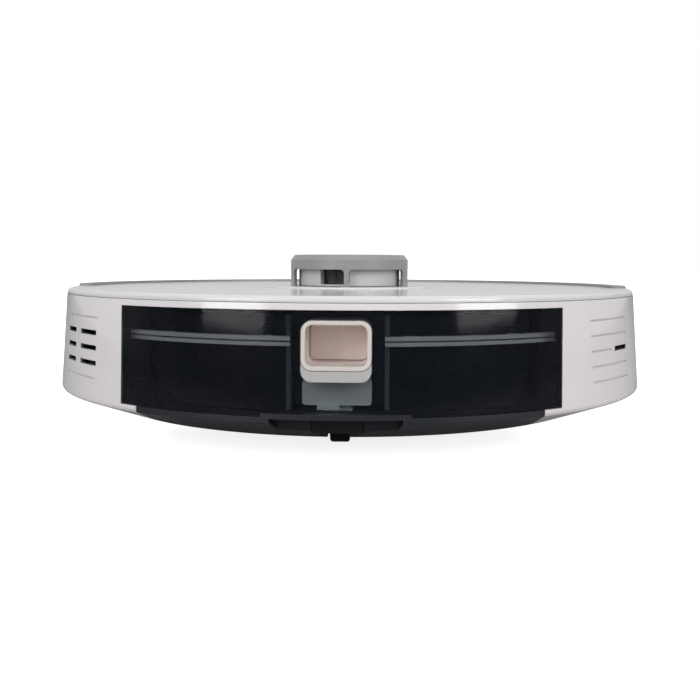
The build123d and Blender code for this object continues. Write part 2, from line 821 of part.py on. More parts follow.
# ================================================================ caster
def make_caster():
    """Swivelling fork and its wheel with stub axles."""
    wheel_y = CASTER_Y - CASTER_TRAIL
    with BuildPart() as fork:
        with BuildSketch(Plane.XY.offset(25.4)):
            with Locations((0, CASTER_Y)):
                Circle(20)
        extrude(amount=3)
        with BuildSketch(Plane.XY.offset(28.4)):
            with Locations((0, CASTER_Y)):
                Circle(4)
        extrude(amount=13.6)
        for side in (-1, 1):
            with BuildSketch(Plane.YZ.offset(side * 8.7)):
                with Locations((wheel_y, CASTER_R)):
                    Circle(4)
                with Locations((wheel_y + 3, 24)):
                    Rectangle(16, 3)
                make_hull()
                with Locations((wheel_y, CASTER_R)):
                    Circle(1.55, mode=Mode.SUBTRACT)
            extrude(amount=1.1, both=True)
    save(fork.part, "caster_fork")
    with BuildPart() as wheel:
        with BuildSketch(Plane.YZ.offset(-6.6)):
            with Locations((wheel_y, CASTER_R)):
                Circle(CASTER_R)
        extrude(amount=13.2)
        fillet(wheel.edges().filter_by(GeomType.CIRCLE), radius=1.6)
        with BuildSketch(Plane.YZ.offset(-9.8)):
            with Locations((wheel_y, CASTER_R)):
                Circle(1.5)
        extrude(amount=19.6)
    save(wheel.part, "caster_wheel")


# ================================================================ bin
def flange_outline():
    """Plan of the bin flange, wider close behind the cover."""
    with BuildSketch() as plan:
        add(bin_outline(FLANGE_R, FLANGE_X, CHANNEL_X, CHANNEL_Y, BIN_FRONT_Y))
        add(bin_outline(FLANGE_R, FLANGE_TIP_X, CHANNEL_X, CHANNEL_Y, FLANGE_TIP_Y))
    return plan.sketch


def bin_outline(radius, half_width, channel_x, channel_y, front_y):
    """Plan of the bin: a disc cut to the bay, with the centre channel left open."""
    with BuildSketch() as plan:
        Circle(radius)
        with Locations((0, -150)):
            Rectangle(2 * half_width, 300, mode=Mode.INTERSECT)
        with Locations((0, front_y + 200)):
            Rectangle(400, 400, mode=Mode.SUBTRACT)
        with Locations((0, channel_y - 50)):
            Rectangle(2 * channel_x, 100, mode=Mode.SUBTRACT)
    return plan.sketch


def make_bin_box():
    """Clear dust box with its flange, inlet, filter window and port opening."""
    outer = bin_outline(BIN_R, BIN_X, CHANNEL_X, CHANNEL_Y, BIN_FRONT_Y)
    inner = bin_outline(BIN_R - 1.8, BIN_X - 1.8, CHANNEL_X + 1.8, CHANNEL_Y + 1.8, BIN_FRONT_Y - 1.8)
    flange = flange_outline()
    with BuildPart() as box:
        with BuildSketch(Plane.XY.offset(24.2)):
            add(outer)
        extrude(amount=32.3)
        with BuildSketch(Plane.XY.offset(54.7)):
            add(flange)
        extrude(amount=1.8)
        with BuildSketch(Plane.XY.offset(26.0)):
            add(inner)
        extrude(amount=32, mode=Mode.SUBTRACT)
        with Locations((0, BIN_FRONT_Y, 37)):
            Box(70, 8, 18, mode=Mode.SUBTRACT)
        with Locations((-BIN_X, -106, 40)):
            Box(8, 36, 18, mode=Mode.SUBTRACT)
        with Locations((0, CHANNEL_Y, 55.6)):
            Box(29, 12, 20.6, mode=Mode.SUBTRACT)
    save(box.part, "bin_box")
    with BuildPart() as lid:
        with BuildSketch(Plane.XY.offset(57.2)):
            add(outer)
        extrude(amount=11.8)
        with BuildSketch(Plane.XY.offset(57.2)):
            add(flange)
        extrude(amount=2.0)
        for place in (-83, -34, 34, 83):
            edge = -math.sqrt(BIN_R**2 - place**2)
            with Locations((place, edge - 0.4, 61.2)):
                Box(7, 3.6, 4.4)
        with BuildSketch(Plane.XY.offset(57.2)):
            add(inner)
        extrude(amount=10, mode=Mode.SUBTRACT)
        with Locations((0, CHANNEL_Y, 55.6)):
            Box(29, 12, 21.4, mode=Mode.SUBTRACT)
    save(lid.part, "bin_lid")


def body_solid(inset):
    """Solid of the whole body outline, for trimming parts flush with the wall."""
    with BuildPart() as solid:
        with BuildSketch(Plane.XZ):
            Polygon(*outline_points(inset), align=None)
        revolve(axis=Axis.Z)
    return solid.part


def make_bin_cover():
    """Smoked cover of the bin, flush with the wall."""
    with BuildPart() as cover:
        with BuildSketch(Plane.XZ):
            Polygon(
                (wall_radius(COVER_LOW_Z), COVER_LOW_Z),
                (wall_radius(COVER_TOP_Z), COVER_TOP_Z),
                (wall_radius(COVER_TOP_Z) - 2.2, COVER_TOP_Z),
                (wall_radius(COVER_LOW_Z) - 2.2, COVER_LOW_Z),
                align=None,
            )
        revolve(axis=Axis.Z)
        with Locations((0, -175, 50)):
            Box(2 * COVER_X, 100, 100, mode=Mode.INTERSECT)
        # opening for the suction port and the apron under it
        with BuildSketch(Plane.XZ.offset(120)):
            with Locations((0, (39.4 + 67.6) / 2)):
                RectangleRounded(PORT_W + 1.0, 67.6 - 39.4, 5.4)
        extrude(amount=80, mode=Mode.SUBTRACT)
        # room for the lip
        with Locations((0, -170, COVER_LOW_Z + 0.3)):
            Box(69, 30, 2.4, mode=Mode.SUBTRACT)
        # narrow inner posts at the ends
        for side in (-1, 1):
            with BuildSketch(Plane.XY.offset(COVER_LOW_Z)):
                with Locations((side * (COVER_X - 1.2), -138.4)):
                    Rectangle(2.4, 8)
            extrude(amount=COVER_TOP_Z - COVER_LOW_Z)
        add(body_solid(0.0), mode=Mode.INTERSECT)
    save(cover.part, "bin_cover")


def make_bin_tray():
    """Dark lower housing of the bin with the finger recess and the roller slot."""
    with BuildPart() as tray:
        with Locations((0, -127.5, 16.3)):
            Box(2 * TRAY_X, 100, 14.6)
        add(body_solid(0.0), mode=Mode.INTERSECT)
        with Locations((0, -105, 18.6)):
            Box(150, 46, 14, mode=Mode.SUBTRACT)
        # finger recess, narrower at the bottom
        with BuildSketch(Plane.XZ.offset(160)):
            Polygon((-31, 24), (31, 24), (27, 12.6), (-27, 12.6), align=None)
        extrude(amount=30, mode=Mode.SUBTRACT)
        # pocket for the latch
        with Locations((0, -157.6, 18)):
            Box(24.8, 5.6, 9.4, mode=Mode.SUBTRACT)
        # roller housing and slot
        with Locations((0, -134, 17.3)):
            Box(18, 34, 12.6)
        with Locations((0, -146.5, 12)):
            Box(11, 49, 13, mode=Mode.SUBTRACT)
        with BuildSketch(Plane.YZ.offset(-8)):
            with Locations((-131, 10.6)):
                Circle(1.55)
        extrude(amount=16, mode=Mode.SUBTRACT)
        # pull lip over the recess
        with BuildSketch(radial_plane(-11.2)):
            Polygon(
                (163.0, 22.6),
                (wall_radius(22.6) - 0.1, 22.6),
                (wall_radius(25.2) - 0.1, 25.2),
                (163.0, 25.2),
                align=None,
            )
        revolve(axis=Axis.Z, revolution_arc=22.4)
    save(tray.part, "bin_tray")
    with BuildPart() as latch:
        with Locations((0, -159.4, 18)):
            Box(24, 2.4, 8)
        with Locations((0, -160.4, 21)):
            Box(20, 2.2, 1.6)
    save(latch.part, "bin_latch")
    with BuildPart() as roller:
        with BuildSketch(Plane.YZ.offset(-4.9)):
            with Locations((-131, 10.6)):
                Circle(6.4)
        extrude(amount=9.8)
        fillet(roller.edges().filter_by(GeomType.CIRCLE), radius=1.4)
        with BuildSketch(Plane.YZ.offset(-7.9)):
            with Locations((-131, 10.6)):
                Circle(1.5)
        extrude(amount=15.8)
    save(roller.part, "rear_roller")


def make_port():
    """Suction port: white ring, apron, duct, flap and the pieces in the channel."""
    trim = body_solid(0.1)
    with BuildPart() as ring:
        with BuildSketch(Plane.XZ.offset(163)):
            with Locations((0, PORT_Z)):
                RectangleRounded(PORT_W, PORT_H, 5)
                RectangleRounded(PORT_W - 4, PORT_H - 4, 3.2, mode=Mode.SUBTRACT)
        extrude(amount=20)
        add(trim, mode=Mode.INTERSECT)
    save(ring.part, "port_ring")
    with BuildPart() as apron:
        with BuildSketch(Plane.XZ.offset(160)):
            with Locations((0, 46)):
                RectangleRounded(PORT_W, 12.4, 5)
            with Locations((0, PORT_Z)):
                RectangleRounded(PORT_W + 0.4, PORT_H + 0.4, 5.2, mode=Mode.SUBTRACT)
        extrude(amount=20)
        add(trim, mode=Mode.INTERSECT)
    save(apron.part, "port_apron")
    with BuildPart() as duct:
        with BuildSketch(Plane.XZ.offset(-PORT_END_Y)):
            with Locations((0, PORT_Z)):
                RectangleRounded(PORT_W, PORT_H, 5)
                RectangleRounded(PORT_W - 4, PORT_H - 4, 3.2, mode=Mode.SUBTRACT)
        extrude(amount=163 + PORT_END_Y)
    save(duct.part, "port_duct")
    with BuildPart() as flap:
        with BuildSketch(Plane.XZ.offset(146.1)):
            with Locations((0, PORT_Z - 0.3)):
                RectangleRounded(PORT_W - 4.7, PORT_H - 5.4, 2.6)
        extrude(amount=1.4)
        with BuildSketch(Plane.YZ.offset(-12)):
            with Locations((-146.8, PORT_Z + 7.7)):
                Circle(1.0)
        extrude(amount=24)
    save(flap.part, "port_flap")
    with BuildPart() as block:
        with Locations((0, -156, 33.7)):
            Box(PORT_W, 18, 11.4)
        fillet(block.edges().filter_by(Axis.Y), radius=1.6)
        with Locations((0, -153, 27.5)):
            Box(12, 12, 5)
        with Locations((-4, -162, 27.0)):
            Box(10, 8, 2.2)
        with Locations((0, -153, 25.0)):
            Box(14, 16, 2.2)
    save(block.part, "duct_block")
    with BuildPart() as inlet_flap:
        with Locations((0, -79.8, 36.9)):
            Box(74, 1.2, 19.4)
        with BuildSketch(Plane.YZ.offset(-37)):
            with Locations((-79.8, 47.2)):
                Circle(1.0)
        extrude(amount=74)
    save(inlet_flap.part, "inlet_flap")
    with BuildPart() as frame:
        with Locations((-86.7, -106, 40)):
            Box(6.8, 41, 24)
        with Locations((-86.7, -106, 40)):
            Box(7, 37, 19, mode=Mode.SUBTRACT)
    save(frame.part, "filter_frame")
    with BuildPart() as pleats:
        with BuildSketch(Plane.XY.offset(30.8)):
            with Locations((-86.7, -106)):
                with GridLocations(0, 3.0, 1, 12):
                    Rectangle(5.6, 1.8)
                Rectangle(1.4, 36)
        extrude(amount=18.4)
    save(pleats.part, "filter_pleats")


def make_bin_bay():
    """Liner that the bin slides into."""
    with BuildPart() as bay:
        for side in (-1, 1):
            with Locations((side * 99.0, -97, 46.9)):
                Box(1.6, 46, 51.8)
            with Locations((side * 99.0, -88, 16.4)):
                Box(1.6, 28, 9.2)
        with Locations((0, -74.9, 42.2)):
            Box(199.6, 1.6, 61.2)
        with Locations((0, -104.5, 73.4)):
            Box(199.6, 61, 1.4)
        with Locations((0, -74.9, 35)):
            Box(70.8, 4, 16, mode=Mode.SUBTRACT)
        with Locations((-99, -104, 40)):
            Box(4, 28, 20, mode=Mode.SUBTRACT)
    save(bay.part, "bin_bay")


# ================================================================ fan and exhaust
def make_fan():
    """Fan housing with inlet, impeller, motor and the duct to the side vents."""
    with BuildPart() as housing:
        with BuildSketch(Plane.XY.offset(28)):
            with Locations((FAN_X, FAN_Y)):
                Circle(FAN_R)
        extrude(amount=26)
        with Locations((-108, -96, 41)):
            Box(14, 22, 20)
        with BuildSketch(Plane.XY.offset(29.6)):
            with Locations((FAN_X, FAN_Y)):
                Circle(FAN_R - 1.6)
        extrude(amount=22.8, mode=Mode.SUBTRACT)
        with Locations((-107, -96, 41)):
            Box(16.4, 18.8, 16.8, mode=Mode.SUBTRACT)
        with Locations(Location((-130, -96, 41), (0, 0, -36))):
            Box(16, 18, 16, mode=Mode.SUBTRACT)
        # motor can above the impeller
        with BuildSketch(Plane.XY.offset(54)):
            with Locations((FAN_X, FAN_Y)):
                Circle(14)
        extrude(amount=13)
        with BuildSketch(Plane.XY.offset(50)):
            with Locations((FAN_X, FAN_Y)):
                Circle(1.56)
        extrude(amount=9, mode=Mode.SUBTRACT)
    save(housing.part, "fan_housing")
    with BuildPart() as impeller:
        with BuildSketch(Plane.XY.offset(44)):
            with Locations((FAN_X, FAN_Y)):
                Circle(IMPELLER_R)
        extrude(amount=1.4)
        with BuildSketch(Plane.XY.offset(36)):
            with Locations((FAN_X, FAN_Y)):
                with PolarLocations(13, 9):
                    Rectangle(11, 1.4, rotation=24)
        extrude(amount=8.2)
        with BuildSketch(Plane.XY.offset(34)):
            with Locations((FAN_X, FAN_Y)):
                Circle(6)
        extrude(amount=11)
        with BuildSketch(Plane.XY.offset(44)):
            with Locations((FAN_X, FAN_Y)):
                Circle(1.5)
        extrude(amount=12.2)
    save(impeller.part, "fan_impeller")

def make_speaker():
    """Loudspeaker behind the sound slot on the right."""
    with BuildPart() as speaker:
        with BuildSketch(Plane.XY.offset(40)):
            with Locations((121, -80)):
                Circle(20)
        extrude(amount=4)
        with BuildSketch(Plane.XY.offset(44)):
            with Locations((121, -80)):
                Circle(12)
        extrude(amount=8)
        with BuildSketch(Plane.XY.offset(40)):
            with Locations((121, -80)):
                Circle(16)
        extrude(amount=1.5, mode=Mode.SUBTRACT)
    save(speaker.part, "speaker")


# ================================================================ electronics and buttons
def make_electronics():
    """Main board, its parts, push buttons, light ring and sensor windows."""
    with BuildPart() as board:
        with Locations((0, 78, 58.8)):
            Box(150, 84, 1.6)
        with BuildSketch(Plane.XY.offset(56)):
            with Locations((-70, 41), (70, 41), (-70, 115), (70, 115)):
                Circle(1.6)
        extrude(amount=6, mode=Mode.SUBTRACT)
    save(board.part, "main_board")
    with BuildPart() as chips:
        for place in ((-40, 60, 22, 22, 2), (10, 55, 14, 14, 2), (45, 62, 18, 10, 6), (-52, 100, 12, 24, 8),
                      (52, 98, 24, 9, 9), (14, 78, 9, 9, 3)):
            with Locations((place[0], place[1], 59.6 + place[4] / 2)):
                Box(place[2], place[3], place[4])
        with Locations((-13, 95, 60.8), (13, 95, 60.8)):
            Box(6, 6, 2.4)
    save(chips.part, "board_parts")
    for place, name in ((-13, "power_button"), (13, "home_button")):
        with BuildPart() as button:
            with BuildSketch(Plane.XY.offset(75.4)):
                with Locations((place, 95)):
                    Circle(6)
            extrude(amount=2.8)
            fillet(button.faces().sort_by(Axis.Z)[-1].edges(), radius=0.6)
            with BuildSketch(Plane.XY.offset(73.0)):
                with Locations((place, 95)):
                    Circle(5)
            extrude(amount=2.4)
            with BuildSketch(Plane.XY.offset(63.0)):
                with Locations((place, 95)):
                    Circle(1.8)
            extrude(amount=10)
        save(button.part, name)
    with BuildPart() as ring:
        with BuildSketch(Plane.XY.offset(75.8)):
            with Locations((-13, 95)):
                Circle(8.5)
                Circle(6.4, mode=Mode.SUBTRACT)
        extrude(amount=2.2)
    save(ring.part, "light_ring")
    with BuildPart() as cliffs:
        with Locations((-62, 118, 10.7), (62, 118, 10.7), (-134, 6, 10.7), (134, 6, 10.7)):
            Box(12, 8, 2.6)
    save(cliffs.part, "cliff_sensors")
    with BuildPart() as contacts:
        with Locations((-112, -72, 10.4), (112, -72, 10.4)):
            Box(18, 8, 2.6)
        fillet(contacts.edges().filter_by(Axis.Z), radius=1.5)
    save(contacts.part, "charge_contacts")
    with BuildPart() as screws:
        with BuildSketch(Plane.XY.offset(BASE_Z + 0.5)):
            with Locations(*SCREW_SPOTS, (-36, 55.5), (36, 55.5)):
                Circle(2.9)
        extrude(amount=1.9)
        with BuildSketch(Plane.XY.offset(BASE_Z)):
            with Locations(*SCREW_SPOTS, (-36, 55.5), (36, 55.5)):
                Rectangle(3.4, 0.8)
                Rectangle(0.8, 3.4)
        extrude(amount=1.2, mode=Mode.SUBTRACT)
    save(screws.part, "base_screws")


make_skirt()
make_bumper()
make_bumper_window()
make_top_cover()
make_collar()
make_turret_cap()
make_lidar_head()
make_lidar_base()
make_base()
make_battery()
make_drive(-1, "left")
make_drive(1, "right")
make_pivots()
make_main_brush()
make_guard()
make_side_brush()
make_caster()
make_bin_box()
make_bin_cover()
make_bin_tray()
make_port()
make_bin_bay()
make_fan()
make_speaker()
make_electronics()
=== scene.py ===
"""Looks of the robot vacuum: finishes, fine pieces, studio and camera.

Metres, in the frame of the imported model: +Z up, the floor at Z = 0, +Y the
driving direction and +X the right-hand side of the machine.
"""

from __future__ import annotations

import json
import logging
import math
from dataclasses import dataclass
from enum import Enum
from typing import Callable, ClassVar, Sequence

import bmesh
import bpy
from mathutils import Matrix, Vector


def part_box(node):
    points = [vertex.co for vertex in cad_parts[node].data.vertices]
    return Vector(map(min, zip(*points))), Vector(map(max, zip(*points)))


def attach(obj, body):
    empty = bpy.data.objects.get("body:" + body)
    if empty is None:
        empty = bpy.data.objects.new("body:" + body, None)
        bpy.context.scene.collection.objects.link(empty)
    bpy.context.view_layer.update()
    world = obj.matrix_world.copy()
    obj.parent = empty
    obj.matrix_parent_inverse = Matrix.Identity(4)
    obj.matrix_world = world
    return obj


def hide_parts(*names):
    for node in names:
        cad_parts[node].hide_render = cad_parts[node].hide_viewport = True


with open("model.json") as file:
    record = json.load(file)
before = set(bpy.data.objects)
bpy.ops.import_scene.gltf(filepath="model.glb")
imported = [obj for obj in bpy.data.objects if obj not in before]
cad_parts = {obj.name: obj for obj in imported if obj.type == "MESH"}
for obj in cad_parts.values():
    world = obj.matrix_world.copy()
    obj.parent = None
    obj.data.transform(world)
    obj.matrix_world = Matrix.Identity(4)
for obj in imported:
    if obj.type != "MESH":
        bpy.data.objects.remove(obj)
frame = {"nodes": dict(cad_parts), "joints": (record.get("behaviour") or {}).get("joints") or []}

LOG = logging.getLogger("robot_vacuum")
Colour = tuple[float, float, float]
Socket = bpy.types.NodeSocket
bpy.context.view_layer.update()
SEED = 7
FULL_TURN = 2 * math.pi


class Side(Enum):
    """Left or right half of the machine."""

    LEFT = -1
    RIGHT = 1

    @property
    def word(self) -> str:
        """Lower-case name used in nodes and bodies."""
        return self.name.lower()


# ---- Shader helper ----
def map_range(
    tree: bpy.types.NodeTree, source: Socket, start: float, end: float, low: float, high: float
) -> Socket:
    """Map a value from start..end to low..high.

    Args:
        tree: Tree to add the node to.
        source: Value to read.
        start: Value where the ramp begins.
        end: Value where the ramp ends.
        low: Result at start.
        high: Result at end.

    Returns:
        The mapped value.
    """
    node = tree.nodes.new("ShaderNodeMapRange")
    sizes = {"From Min": start, "From Max": end, "To Min": low, "To Max": high}
    for name, value in sizes.items():
        node.inputs[name].default_value = value
    tree.links.new(source, node.inputs["Value"])
    return node.outputs[0]


def shade(colour: Colour, factor: float) -> Colour:
    """The colour made lighter or darker by a factor."""
    return tuple(min(1.0, c * factor) for c in colour)


class ShaderSheet:
    """A material under construction, with short calls for its nodes."""

    def __init__(self, name: str) -> None:
        """Start a material with one principled surface.

        Args:
            name: Name of the material.
        """
        self.material = bpy.data.materials.new(name)
        self.material.use_nodes = True
        self.tree = self.material.node_tree
        self.tree.nodes.clear()
        self.output = self.tree.nodes.new("ShaderNodeOutputMaterial")
        self.bsdf = self.tree.nodes.new("ShaderNodeBsdfPrincipled")
        self.link(self.bsdf.outputs[0], self.output.inputs["Surface"])
        self.coords = self.tree.nodes.new("ShaderNodeTexCoord").outputs["Object"]

    def link(self, source: Socket, target: Socket) -> None:
        """Join two sockets."""
        self.tree.links.new(source, target)

    def put(self, name: str, value: object) -> None:
        """Fill an input of the surface.

        Args:
            name: Name of the input.
            value: Plain value, set on the socket itself, or a socket to read.
        """
        if isinstance(value, Socket):
            self.link(value, self.bsdf.inputs[name])
        else:
            self.bsdf.inputs[name].default_value = value

    def noise(
        self, scale: float, detail: float = 2.0, roughness: float = 0.5,
        stretch: Colour = (1.0, 1.0, 1.0),
    ) -> Socket:
        """Noise on object coordinates.

        Args:
            scale: Frequency per metre.
            detail: Octaves.
            roughness: Weight of the finer octaves.
            stretch: Scale along each axis.

        Returns:
            The factor output.
        """
        mapping = self.tree.nodes.new("ShaderNodeMapping")
        mapping.inputs["Scale"].default_value = stretch
        self.link(self.coords, mapping.inputs["Vector"])
        node = self.tree.nodes.new("ShaderNodeTexNoise")
        for name, value in {"Scale": scale, "Detail": detail, "Roughness": roughness}.items():
            node.inputs[name].default_value = value
        self.link(mapping.outputs[0], node.inputs["Vector"])
        return node.outputs[0]

    def spread(
        self, source: Socket, low: float, high: float, start: float = 0.3, end: float = 0.7
    ) -> Socket:
        """Map a noise factor from start..end to low..high."""
        return map_range(self.tree, source, start, end, low, high)

    def blend(self, factor: Socket, first: object, second: object) -> Socket:
        """Mix two colours.

        Args:
            factor: Share of the second colour.
            first: Colour tuple or socket.
            second: Colour tuple or socket.

        Returns:
            The mixed colour.
        """
        node = self.tree.nodes.new("ShaderNodeMix")
        node.data_type = "RGBA"
        self.link(factor, node.inputs[0])
        for socket, value in ((node.inputs[6], first), (node.inputs[7], second)):
            if isinstance(value, tuple):
                socket.default_value = (*value[:3], 1.0)
            else:
                self.link(value, socket)
        return node.outputs[2]

    def two_tone(self, factor: Socket, first: Colour, second: Colour) -> Socket:
        """Drift between two colours with a noise factor."""
        return self.blend(self.spread(factor, 0.0, 1.0), first, second)

    def maths(self, operation: str, first: object, second: object = 0.0) -> Socket:
        """One maths node; each operand is a number or a socket.

        Args:
            operation: Blender's name of the operation.
            first: First operand.
            second: Second operand.

        Returns:
            The result.
        """
        node = self.tree.nodes.new("ShaderNodeMath")
        node.operation = operation
        for socket, value in zip(node.inputs, (first, second)):
            if isinstance(value, (int, float)):
                socket.default_value = value
            else:
                self.link(value, socket)
        return node.outputs[0]

    def bump(self, height: Socket, distance: float) -> None:
        """Add a bump on top of those already there.

        Args:
            height: Height factor.
            distance: Depth in metres of a full step.
        """
        node = self.tree.nodes.new("ShaderNodeBump")
        node.inputs["Distance"].default_value = distance
        node.inputs["Strength"].default_value = 1.0
        self.link(height, node.inputs["Height"])
        socket = self.bsdf.inputs["Normal"]
        if socket.links:
            self.link(socket.links[0].from_socket, node.inputs["Normal"])
        self.link(node.outputs[0], socket)

    def round_edges(self, radius: float) -> None:
        """Catch the light on sharp edges as if they were slightly rounded.

        Args:
            radius: Radius in metres of the rounding.
        """
        node = self.tree.nodes.new("ShaderNodeBevel")
        node.samples = 4
        node.inputs["Radius"].default_value = radius
        self.link(node.outputs[0], self.bsdf.inputs["Normal"])

    def axes(self) -> tuple[Socket, ...]:
        """Split the object coordinates.

        Returns:
            The X, Y and Z outputs.
        """
        node = self.tree.nodes.new("ShaderNodeSeparateXYZ")
        self.link(self.coords, node.inputs[0])
        return tuple(node.outputs)


# ---- Finishes ----
@dataclass(frozen=True)
class MouldedPlastic:
    """Injection-moulded plastic: slight mottling, fine grain and soft waviness."""

    name: str
    colour: Colour
    roughness: float = 0.4
    mottle: float = 0.035
    grain: float = 0.00003
    grain_scale: float = 1800.0
    wave: float = 0.00004
    coat: float = 0.0
    dust: float = 0.0
    dust_colour: Colour = (0.42, 0.41, 0.39)
    specular: float = 0.5
    edge: float = 0.0
    coat_roughness: float = 0.06

    def build(self) -> bpy.types.Material:
        """Build the material.

        Returns:
            The finished material.
        """
        sheet = ShaderSheet(self.name)
        fast = sheet.noise(60.0, 4.0, 0.6)
        low, high = shade(self.colour, 1 - self.mottle), shade(self.colour, 1 + self.mottle)
        colour = sheet.two_tone(sheet.noise(9.0, 3.0), low, high)
        if self.dust:
            amount = sheet.spread(fast, 0.0, self.dust, 0.45, 0.75)
            colour = sheet.blend(amount, colour, self.dust_colour)
        sheet.put("Base Color", colour)
        roughest = min(1.0, self.roughness * 1.16)
        sheet.put("Roughness", sheet.spread(fast, self.roughness * 0.86, roughest))
        sheet.put("Specular IOR Level", self.specular)
        sheet.put("Coat Weight", self.coat)
        sheet.put("Coat Roughness", self.coat_roughness)
        if self.edge:
            sheet.round_edges(self.edge)
        if self.grain:
            sheet.bump(sheet.noise(self.grain_scale), self.grain)
        if self.wave:
            sheet.bump(sheet.noise(34.0, 1.0), self.wave)
        return sheet.material


@dataclass(frozen=True)
class SmokedPlastic:
    """Thin see-through plastic, tinted nearly black, with a polished skin."""

    name: str
    colour: Colour = (0.003, 0.004, 0.007)
    cover: float = 0.36
    roughness: float = 0.07
    specular: float = 0.35

    def build(self) -> bpy.types.Material:
        """Build the material, as see-through on each of the wall's two faces.

        Returns:
            The finished material.
        """
        sheet = ShaderSheet(self.name)
        drift = sheet.noise(14.0)
        fine = sheet.noise(420.0, 3.0, 0.6)
        sheet.put("Base Color", sheet.two_tone(drift, self.colour, shade(self.colour, 1.5)))
        sheet.put("Roughness", sheet.spread(fine, self.roughness * 0.8, self.roughness * 1.4))
        sheet.put("Alpha", sheet.spread(drift, self.cover * 0.97, self.cover * 1.03))
        sheet.put("Specular IOR Level", self.specular)
        sheet.bump(sheet.noise(40.0, 1.0), 0.00005)
        return sheet.material


@dataclass(frozen=True)
class FlangedPlastic:
    """Dark tinted bin plastic whose flange rims are frosted light grey."""

    name: str
    body: Colour = (0.006, 0.008, 0.011)
    rim: Colour = (0.78, 0.82, 0.87)
    rim_low: float = 0.0545
    rim_high: float = 0.0594
    rim_radius: float = 0.1606
    channel: Colour = (0.13, 0.16, 0.175)
    channel_x: float = 0.0240
    channel_y: float = -0.138
    specular: float = 0.25

    def build(self) -> bpy.types.Material:
        """Build the material; the rim is found from height and radius.

        Returns:
            The finished material.
        """
        sheet = ShaderSheet(self.name)
        maths = sheet.maths
        x, y, z = sheet.axes()
        squares = maths("ADD", maths("MULTIPLY", x, x), maths("MULTIPLY", y, y))
        outside = maths("GREATER_THAN", maths("SQRT", squares), self.rim_radius)
        above = maths("GREATER_THAN", z, self.rim_low)
        below = maths("LESS_THAN", z, self.rim_high)
        on_rim = maths("MULTIPLY", outside, maths("MULTIPLY", above, below))
        beside = maths("LESS_THAN", maths("ABSOLUTE", x), self.channel_x)
        behind = maths("LESS_THAN", y, self.channel_y)
        drift = sheet.noise(16.0, 3.0)
        rim = sheet.two_tone(drift, shade(self.rim, 0.9), self.rim)
        body = sheet.two_tone(drift, self.body, shade(self.body, 1.6))
        body = sheet.blend(maths("MULTIPLY", beside, behind), body, self.channel)
        sheet.put("Base Color", sheet.blend(on_rim, body, rim))
        sheet.put("Roughness", sheet.spread(sheet.noise(90.0), 0.22, 0.36))
        sheet.put("Specular IOR Level", self.specular)
        sheet.bump(sheet.noise(900.0), 0.00002)
        return sheet.material


@dataclass(frozen=True)
class SoftRubber:
    """Rubber with a fine grain, paler where it is scuffed."""

    name: str
    colour: Colour = (0.018, 0.018, 0.019)
    roughness: float = 0.72
    scuff: float = 0.25
    specular: float = 0.2

    def build(self) -> bpy.types.Material:
        """Build the material.

        Returns:
            The finished material.
        """
        sheet = ShaderSheet(self.name)
        worn = sheet.spread(sheet.noise(140.0, 5.0, 0.65), 0.0, self.scuff, 0.52, 0.75)
        sheet.put("Base Color", sheet.blend(worn, self.colour, shade(self.colour, 3.2)))
        smooth, rough = self.roughness - 0.1, self.roughness + 0.1
        sheet.put("Roughness", sheet.spread(sheet.noise(80.0), smooth, rough))
        sheet.put("Specular IOR Level", self.specular)
        sheet.bump(sheet.noise(1500.0, 3.0), 0.00006)
        return sheet.material


@dataclass(frozen=True)
class TurnedMetal:
    """Metal with fine brushed lines along one axis."""

    name: str
    colour: Colour = (0.56, 0.57, 0.58)
    roughness: float = 0.3
    lines: Colour = (1.0, 1.0, 40.0)

    def build(self) -> bpy.types.Material:
        """Build the material.

        Returns:
            The finished material.
        """
        sheet = ShaderSheet(self.name)
        brushed = sheet.noise(120.0, 4.0, 0.6, self.lines)
        smooth, rough = self.roughness * 0.75, self.roughness * 1.3
        sheet.put("Base Color", sheet.two_tone(brushed, shade(self.colour, 0.82), self.colour))
        sheet.put("Roughness", sheet.spread(brushed, smooth, rough))
        sheet.put("Metallic", 1.0)
        sheet.bump(brushed, 0.00002)
        return sheet.material


@dataclass(frozen=True)
class PleatedPaper:
    """Filter paper: fibrous, with greyer soiled patches at random."""

    name: str
    colour: Colour = (0.74, 0.73, 0.69)
    soil: Colour = (0.4, 0.38, 0.34)

    def build(self) -> bpy.types.Material:
        """Build the material.

        Returns:
            The finished material.
        """
        sheet = ShaderSheet(self.name)
        fibre = sheet.noise(700.0, 5.0, 0.7)
        base = sheet.two_tone(fibre, shade(self.colour, 0.86), self.colour)
        soiled = sheet.spread(sheet.noise(45.0, 3.0), 0.0, 0.4, 0.5, 0.8)
        sheet.put("Base Color", sheet.blend(soiled, base, self.soil))
        sheet.put("Roughness", 0.9)
        sheet.bump(fibre, 0.0001)
        return sheet.material


@dataclass(frozen=True)
class CircuitBoard:
    """Green board with copper runs under the lacquer."""

    name: str
    board: Colour = (0.012, 0.09, 0.05)
    copper: Colour = (0.05, 0.19, 0.11)
    run_scale: float = 130.0
    run_width: float = 0.08

    def build(self) -> bpy.types.Material:
        """Build the material; the runs come from stepped bricks.

        Returns:
            The finished material.
        """
        sheet = ShaderSheet(self.name)
        bricks = sheet.tree.nodes.new("ShaderNodeTexBrick")
        bricks.offset = 0.5
        bricks.inputs["Scale"].default_value = self.run_scale
        bricks.inputs["Mortar Size"].default_value = self.run_width
        bricks.inputs["Color1"].default_value = (*self.board, 1.0)
        bricks.inputs["Color2"].default_value = (*shade(self.board, 1.3), 1.0)
        bricks.inputs["Mortar"].default_value = (*self.copper, 1.0)
        sheet.link(sheet.coords, bricks.inputs["Vector"])
        sheet.put("Base Color", bricks.outputs["Color"])
        sheet.put("Roughness", sheet.spread(sheet.noise(200.0), 0.28, 0.42))
        sheet.bump(bricks.outputs["Fac"], 0.00004)
        return sheet.material


